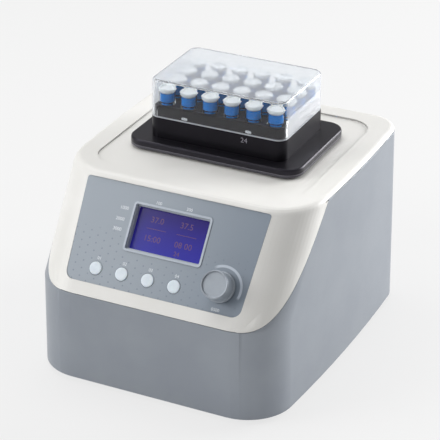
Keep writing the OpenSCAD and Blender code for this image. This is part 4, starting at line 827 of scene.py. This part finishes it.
def makeCorners(look, seam, solidSeam):
    reach = look["gap"] + look["overlap"]
    lower = [(y, z + look["gap"]) for y, z in seam]
    band = acrossCase(look, lower + [(y, z + reach) for y, z in reversed(solidSeam)], "band")
    corners = caseHull(look, look["skin"], "coverCorners")
    inner = caseHull(look, look["inner"], "inner")
    cutBy(corners, inner, "DIFFERENCE")
    cutBy(corners, band, "INTERSECT")
    smooth(corners, 30)
    keepFlatsFlat(corners)
    dress(corners, "coverSprayedAbs", "base")
    bpy.data.objects.remove(band)
    bpy.data.objects.remove(inner)


def makeHousing(look, seam, solidSeam):
    housing = copyOf(cadNodes["base_housing"], "housingShell")
    place = cadNodes["base_housing"].matrix_world.copy()
    housing.parent = None
    housing.matrix_world = place
    settle(housing)
    editAll(housing, (bpy.ops.mesh.remove_doubles, {"threshold": 1e-6}))
    above = acrossCase(look, seam + [(y, z + look["clearance"]) for y, z in reversed(solidSeam)], "above")
    cutBy(housing, above, "DIFFERENCE")
    smooth(housing, 30)
    keepFlatsFlat(housing)
    dress(housing, "housingPowderCoat", "base", "base_housing")
    bpy.data.objects.remove(above)


seam = curvePoints(cornerLook["seamCurve"], 28)
solidSeam = [(cornerLook["front"] + 1.0, cornerLook["seam"])] + curvePoints(cornerLook["solidSeam"], 14)
makeCorners(cornerLook, seam, solidSeam)
makeHousing(cornerLook, seam, solidSeam)
print("corners done")

# Knob, in millimetres
knobLook = {"base": 0.1, "radius": 10.5, "height": 12.9, "skirt": 1.0, "dish": 1.2}


def makeKnob(look):
    r, h = look["radius"], look["height"]
    skirt, dish = r + look["skirt"], h - look["dish"]
    knob = turned("knob", [
        (5.4, 0.3), (5.5, 0.05), (skirt - 0.3, 0), (skirt, 0.3), (skirt, 1.0), (skirt - 0.15, 1.4),
        (skirt - 0.5, 1.6), (r + 0.35, 1.65), (r + 0.2, 1.9), (r + 0.12, 4), (r + 0.05, 8), (r, h - 1.0),
        (r - 0.06, h - 0.5), (r - 0.25, h - 0.15), (r - 0.5, h), (r - 0.95, h), (r - 1.2, h - 0.12),
        (r - 1.35, h - 0.4), (r - 1.5, dish + 0.15), (r - 1.75, dish), (r * 0.5, dish - 0.06),
        (0.4, dish - 0.08)], 96)
    knob.matrix_world = onFascia(fascia["knobX"], fascia["knobUp"], look["base"])
    settle(knob)
    smooth(knob, 28)
    dress(knob, "knobSprayedAbs", "knob", "control_knob")


makeKnob(knobLook)
print("knob done")

# Buttons: a pin, a flange behind the panel and a slightly dished face
buttonLook = {
    "radius": 5.0, "low": -4.6, "top": -0.2, "pin": 1.6, "flange": 6.3, "flangeLow": -3.9, "flangeTop": -2.9,
}


def makeButtons(look):
    r, top, pin, flange = look["radius"], look["top"], look["pin"], look["flange"]
    flangeLow, flangeTop = look["flangeLow"], look["flangeTop"]
    cap = turned("buttonCap", [
        (pin, look["low"]), (pin, flangeLow), (flange, flangeLow), (flange, flangeTop), (r, flangeTop),
        (r, top - 0.7), (r - 0.08, top - 0.35), (r - 0.3, top - 0.1), (r - 0.7, top + 0.03),
        (r * 0.6, top), (r * 0.3, top - 0.03), (0.3, top - 0.04)], 64)
    for i in range(fascia["buttonCount"]):
        button = copyOf(cap, f"buttonCap.{i + 1}")
        button.matrix_world = onFascia(fascia["buttonX"] + i * fascia["buttonPitch"], fascia["buttonUp"], 0)
        settle(button)
        smooth(button, 28)
        dress(button, "buttonSilicone", f"button_{i + 1}", f"button_{i + 1}")
    bpy.data.objects.remove(cap)


makeButtons(buttonLook)
print("buttons done")

# Plain figures on the panel, the display and the block
printLook = {
    # words, height of the figures in mm, x, distance up the slope
    "panel": [
        ("1000", 2.5, -39, 70.5), ("2000", 2.5, -40.2, 62), ("3000", 2.5, -40.4, 54.3),
        ("100", 2.3, -13, 79.1), ("200", 2.3, 11.9, 79.3), ("01", 2.3, -47.8, 30.1),
        ("02", 2.3, -26.8, 30.1), ("03", 2.3, -5.4, 30.1), ("04", 2.3, 16, 30.1), ("0500", 2.3, 51.5, 13.2)],
    "display": [
        ("37.0", 4.4, -13, 66.9), ("37.5", 4.4, 11, 67.4), ("15:00", 4.4, -13.5, 52.8),
        ("08 00", 4.4, 12, 52.8), ("24", 3.4, 8.5, 46.0)],
    # thin lines on the display: width, x, distance up the slope
    "lines": [(16, -12, 60.3), (16, 12.6, 60.4)],
    "lineThick": (0.4, 0.02),  # along the slope and out of it
    "panelOut": -0.99,
    "displayOut": -6.39,
    "block": ("24", 4.0, (23.7, -8.71, 169.8)),
    "inkThick": 0.01,
    "figureShare": 0.7,  # how much of its text size a figure stands high
}


def writeFigures(look, rows):
    pieces = []
    for words, high, place in rows:
        deselectAll()
        bpy.ops.object.text_add(location=(0, 0, 0))
        text = bpy.context.object
        text.data.body = words
        text.data.size = high * mm / look["figureShare"]
        text.data.align_x = "CENTER"
        text.data.align_y = "CENTER"
        text.data.extrude = look["inkThick"] * mm
        text.data.resolution_u = 4
        bpy.ops.object.convert(target="MESH")
        text = bpy.context.object
        text.matrix_world = place
        settle(text)
        pieces.append(text)
    return pieces


def drawLine(look, width, place):
    deselectAll()
    along, out = look["lineThick"]
    bpy.ops.mesh.primitive_cube_add(size=1, scale=(width * mm, along * mm, out * mm))
    line = bpy.context.object
    settle(line)
    line.matrix_world = place
    settle(line)
    return line


def printPanel(look):
    rows = [(words, high, onFascia(x, up, look["panelOut"])) for words, high, x, up in look["panel"]]
    figures = joinAll(writeFigures(look, rows), "panelFigures")
    dress(figures, "screenPrint", "base")


def printDisplay(look):
    out = look["displayOut"]
    rows = [(words, high, onFascia(x, up, out)) for words, high, x, up in look["display"]]
    figures = writeFigures(look, rows)
    figures += [drawLine(look, width, onFascia(x, up, out)) for width, x, up in look["lines"]]
    figures = joinAll(figures, "displayFigures")
    dress(figures, "amberSegments", "base")


def printBlock(look):
    words, high, at = look["block"]
    upright = Matrix.Translation([part * mm for part in at]) @ Matrix.Rotation(math.pi / 2, 4, "X")
    figures = joinAll(writeFigures(look, [(words, high, upright)]), "blockFigures")
    dress(figures, "greyPrint", "block")


printPanel(printLook)
printDisplay(printLook)
printBlock(printLook)
print("figures done")

# Tubes with their liquid and caps, in millimetres
tubeLook = {
    "columns": 6, "rows": 4, "pitch": 18.0,
    "low": 160.15, "collarLow": 184.0, "top": 193.8,
    "radius": 5.4, "wall": 1.0, "collarRadius": 6.2, "collarWall": 0.6, "gap": 0.1, "plug": 1.0,
    "capRadius": 6.4, "capHeight": 2.6,
    # sizes of the thumb tab and the hinge beside each cap, and the heights of their middles above the rim
    "thumb": (1.4, 3.4, 0.8), "thumbHigh": 1.9, "hinge": (1.2, 2.6, 1.2), "hingeHigh": 1.1,
}


def roundEnd(radius, low):  # rings of a half ball, from its lowest point up
    steps = 6
    rings = []
    for i in range(1, steps + 1):
        a = math.pi / 2 * i / steps
        rings.append((radius * math.sin(a), low + radius * (1 - math.cos(a))))
    return rings


def spreadOverWells(one, look):
    name, copies = one.name, []
    for i in range(look["columns"]):
        for j in range(look["rows"]):
            copy = copyOf(one, f"{name}.{i}.{j}")
            x = (i - (look["columns"] - 1) / 2) * look["pitch"]
            y = blockY + (j - (look["rows"] - 1) / 2) * look["pitch"]
            copy.matrix_world = Matrix.Translation((x * mm, y * mm, 0)) @ one.matrix_world
            copies.append(copy)
    bpy.data.objects.remove(one)
    joined = joinAll(copies, name)
    settle(joined)
    return joined


def makeTubes(look):
    r, low, top, wall = look["radius"], look["low"], look["top"], look["wall"]
    foot, wide = look["collarLow"], look["collarRadius"]
    inner, wideInner = r - wall, wide - look["collarWall"]
    bore = roundEnd(inner, low + wall)
    bore += [(inner, foot + 0.8), (wideInner, foot + 2.0), (wideInner, top - 0.1)]
    tube = turned("tubeBodies", roundEnd(r, low) + [
        (r, foot), (wide - 0.15, foot + 0.01), (wide, foot + 0.15), (wide, top - 0.5),
        (wide - 0.1, top - 0.05), (wide - 0.2, top)] + bore[::-1], 40)
    tubes = spreadOverWells(tube, look)
    smooth(tubes, 40)
    dress(tubes, "tubePolypropylene", "block", "sample_tubes")


def makeLiquid(look):
    gap, foot = look["gap"], look["collarLow"]
    fill = look["radius"] - look["wall"] - gap
    wide = look["collarRadius"] - look["collarWall"] - gap
    level = look["top"] - look["plug"] - gap
    liquid = turned("dyedLiquid", roundEnd(fill, look["low"] + look["wall"] + gap) + [
        (fill, foot + 0.9), (wide, foot + 2.2), (wide, level), (wide - 0.4, level - 0.2),
        (wide * 0.5, level - 0.3)], 40)
    liquids = spreadOverWells(liquid, look)
    smooth(liquids, 40)
    dress(liquids, "dyedWater", "block", "tube_liquid")


def makeTab(side, size, reach, high):  # a softened block beside the cap
    deselectAll()
    bpy.ops.mesh.primitive_cube_add(size=1, location=(side * reach * mm, 0, high * mm),
                                    scale=[part * mm for part in size])
    tab = bpy.context.object
    settle(tab)
    soften(tab, 0.3)
    return tab


def makeCaps(look):
    r, top, plug = look["capRadius"], look["top"], look["plug"]
    inside = look["collarRadius"] - look["collarWall"] - look["gap"]  # the plug's radius in the tube
    roof = top + look["capHeight"]
    pieces = [turned("tubeCapTops", [
        (inside - 0.8, top + 0.6), (inside - 0.8, top - plug), (inside - 0.1, top - plug),
        (inside, top - plug + 0.2), (inside, top + 0.02), (r - 0.25, top + 0.02), (r, top + 0.25),
        (r, roof - 0.6), (r - 0.15, roof - 0.2), (r - 0.5, roof), (r - 1.2, roof), (r - 1.5, roof - 0.2),
        (r - 1.7, roof - 0.6), (r * 0.3, roof - 0.62)], 48)]
    for side, part in ((1, "thumb"), (-1, "hinge")):
        size = look[part]
        pieces.append(makeTab(side, size, r + size[0] / 2 - 0.5, top + look[part + "High"]))
    caps = spreadOverWells(joinAll(pieces, "tubeCapTops"), look)
    smooth(caps, 35)
    dress(caps, "capPolypropylene", "block", "tube_caps")


makeTubes(tubeLook)
makeLiquid(tubeLook)
makeCaps(tubeLook)
print("tubes done")

# Clear lid: a box with rounded corners and top edge, leaning in a little and open below
lidLook = {
    "width": 112.5, "depth": 75.0, "low": 174.5, "height": 30.2, "wall": 1.8,
    "lean": 0.5, "cornerRadius": 8.0, "topEdge": 2.2, "softEdge": 0.25,
}


def makeLid(look):
    deselectAll()
    low, high = look["low"] * mm, (look["low"] + look["height"]) * mm
    bpy.ops.mesh.primitive_cube_add(size=1, location=(0, blockY * mm, (low + high) / 2),
                                    scale=(look["width"] * mm, look["depth"] * mm, high - low))
    lid = bpy.context.object
    lid.name = "acrylicLid"
    settle(lid)
    bpy.ops.object.mode_set(mode="EDIT")
    selectWhere("edges", lambda edge: abs(edge.verts[0].co.z - edge.verts[1].co.z) > 0.01)
    bpy.ops.mesh.bevel(offset=look["cornerRadius"] * mm, segments=12, profile=0.5)
    selectWhere("faces", lambda face: face.normal.z > 0.9)
    narrow = [1 - 2 * look["lean"] / look[side] for side in ("width", "depth")]
    bpy.ops.transform.resize(value=(*narrow, 1), center_override=(0, blockY * mm, high))
    selectWhere("edges", lambda edge: all(v.co.z > high - 1e-6 for v in edge.verts))
    bpy.ops.mesh.bevel(offset=look["topEdge"] * mm, segments=6, profile=0.5)
    selectWhere("faces", lambda face: face.normal.z < -0.9)
    bpy.ops.mesh.delete(type="FACE")
    bpy.ops.object.mode_set(mode="OBJECT")
    pickOnly(lid)
    wall = lid.modifiers.new("wall", "SOLIDIFY")
    wall.thickness = look["wall"] * mm
    wall.offset = -1
    wall.use_even_offset = True
    bpy.ops.object.modifier_apply(modifier="wall")
    soften(lid, look["softEdge"])
    smooth(lid, 30)
    dress(lid, "castAcrylic", "lid", "clear_lid")


makeLid(lidLook)
print("lid done")

# Floor, world and lamps
studio = {
    "floorColour": "#F1F1F1",
    "floorSize": 12,
    "floorGlow": 0.85,  # share of the backdrop in what is seen of the floor, the rest takes the shadow
    "backdrop": "#F1F1F1",
    "fill": 0.24,  # what the world gives to the surfaces, and what they mirror of it
    "shine": 0.42,
    # place, size in metres, power in watts, aim
    "lamps": {
        "overhead": ((-0.35, 0.3, 1.4), (1.2, 1.0), 12, (0, 0, 0.1)),
        "leftFront": ((-1.1, -0.95, 0.85), (0.8, 1.0), 13.5, (0, -0.05, 0.08)),
        "rightBack": ((0.95, 1.15, 0.5), (0.9, 0.9), 29, (0.08, 0.05, 0.06)),
    },
}


def makeFloor(look):
    deselectAll()
    bpy.ops.mesh.primitive_plane_add(size=look["floorSize"], location=(0, 0, 0))
    floor = bpy.context.object
    floor.name = "benchTop"
    pale = bpy.data.materials.new("paleBench")
    pale.use_nodes = True
    tree = pale.node_tree
    tree.nodes.clear()
    path = addNode(tree, "LightPath")
    seen = 0.0
    for ray in ("Camera", "Glossy", "Transmission"):
        seen = addNode(tree, "Math", {"operation": "MAXIMUM"}, {
            0: seen, 1: path.outputs[f"Is {ray} Ray"]}).outputs[0]
    share = addNode(tree, "Math", {"operation": "MULTIPLY"}, {0: seen, 1: look["floorGlow"]})
    plain = addNode(tree, "BsdfDiffuse", None, {"Color": linear(look["floorColour"])})
    bright = addNode(tree, "Emission", None, {"Color": linear(look["backdrop"]), "Strength": 1.0})
    mixed = addNode(tree, "MixShader", None, {0: share.outputs[0], 1: plain.outputs[0], 2: bright.outputs[0]})
    addNode(tree, "OutputMaterial", None, {"Surface": mixed.outputs[0]})
    floor.data.materials.append(pale)


def makeWorld(look):
    world = bpy.data.worlds.new("studioWorld")
    world.use_nodes = True
    bpy.context.scene.world = world
    tree = world.node_tree
    tree.nodes.clear()
    path = addNode(tree, "LightPath")
    seen = addNode(tree, "Math", {"operation": "MAXIMUM"}, {
        0: path.outputs["Is Camera Ray"], 1: path.outputs["Is Transmission Ray"]})
    fill = addNode(tree, "Background", None, {"Color": (1, 1, 1, 1), "Strength": look["fill"]})
    white = addNode(tree, "Background", None, {"Color": linear(look["backdrop"]), "Strength": 1.0})
    shine = addNode(tree, "Background", None, {"Color": (1, 1, 1, 1), "Strength": look["shine"]})
    unseen = addNode(tree, "MixShader", None, {
        0: path.outputs["Is Glossy Ray"], 1: fill.outputs[0], 2: shine.outputs[0]})
    mixed = addNode(tree, "MixShader", None, {0: seen.outputs[0], 1: unseen.outputs[0], 2: white.outputs[0]})
    addNode(tree, "OutputWorld", None, {"Surface": mixed.outputs[0]})


def makeLamps(look):
    for name, (at, size, power, aim) in look["lamps"].items():
        data = bpy.data.lights.new(name, "AREA")
        data.shape = "RECTANGLE"
        data.size, data.size_y = size
        data.energy = power
        lamp = bpy.data.objects.new(name, data)
        bpy.context.scene.collection.objects.link(lamp)
        direction = Vector(aim) - Vector(at)
        lamp.matrix_world = Matrix.Translation(at) @ direction.to_track_quat("-Z", "Y").to_matrix().to_4x4()


makeFloor(studio)
makeWorld(studio)
makeLamps(studio)
deselectAll()
print("studio done")
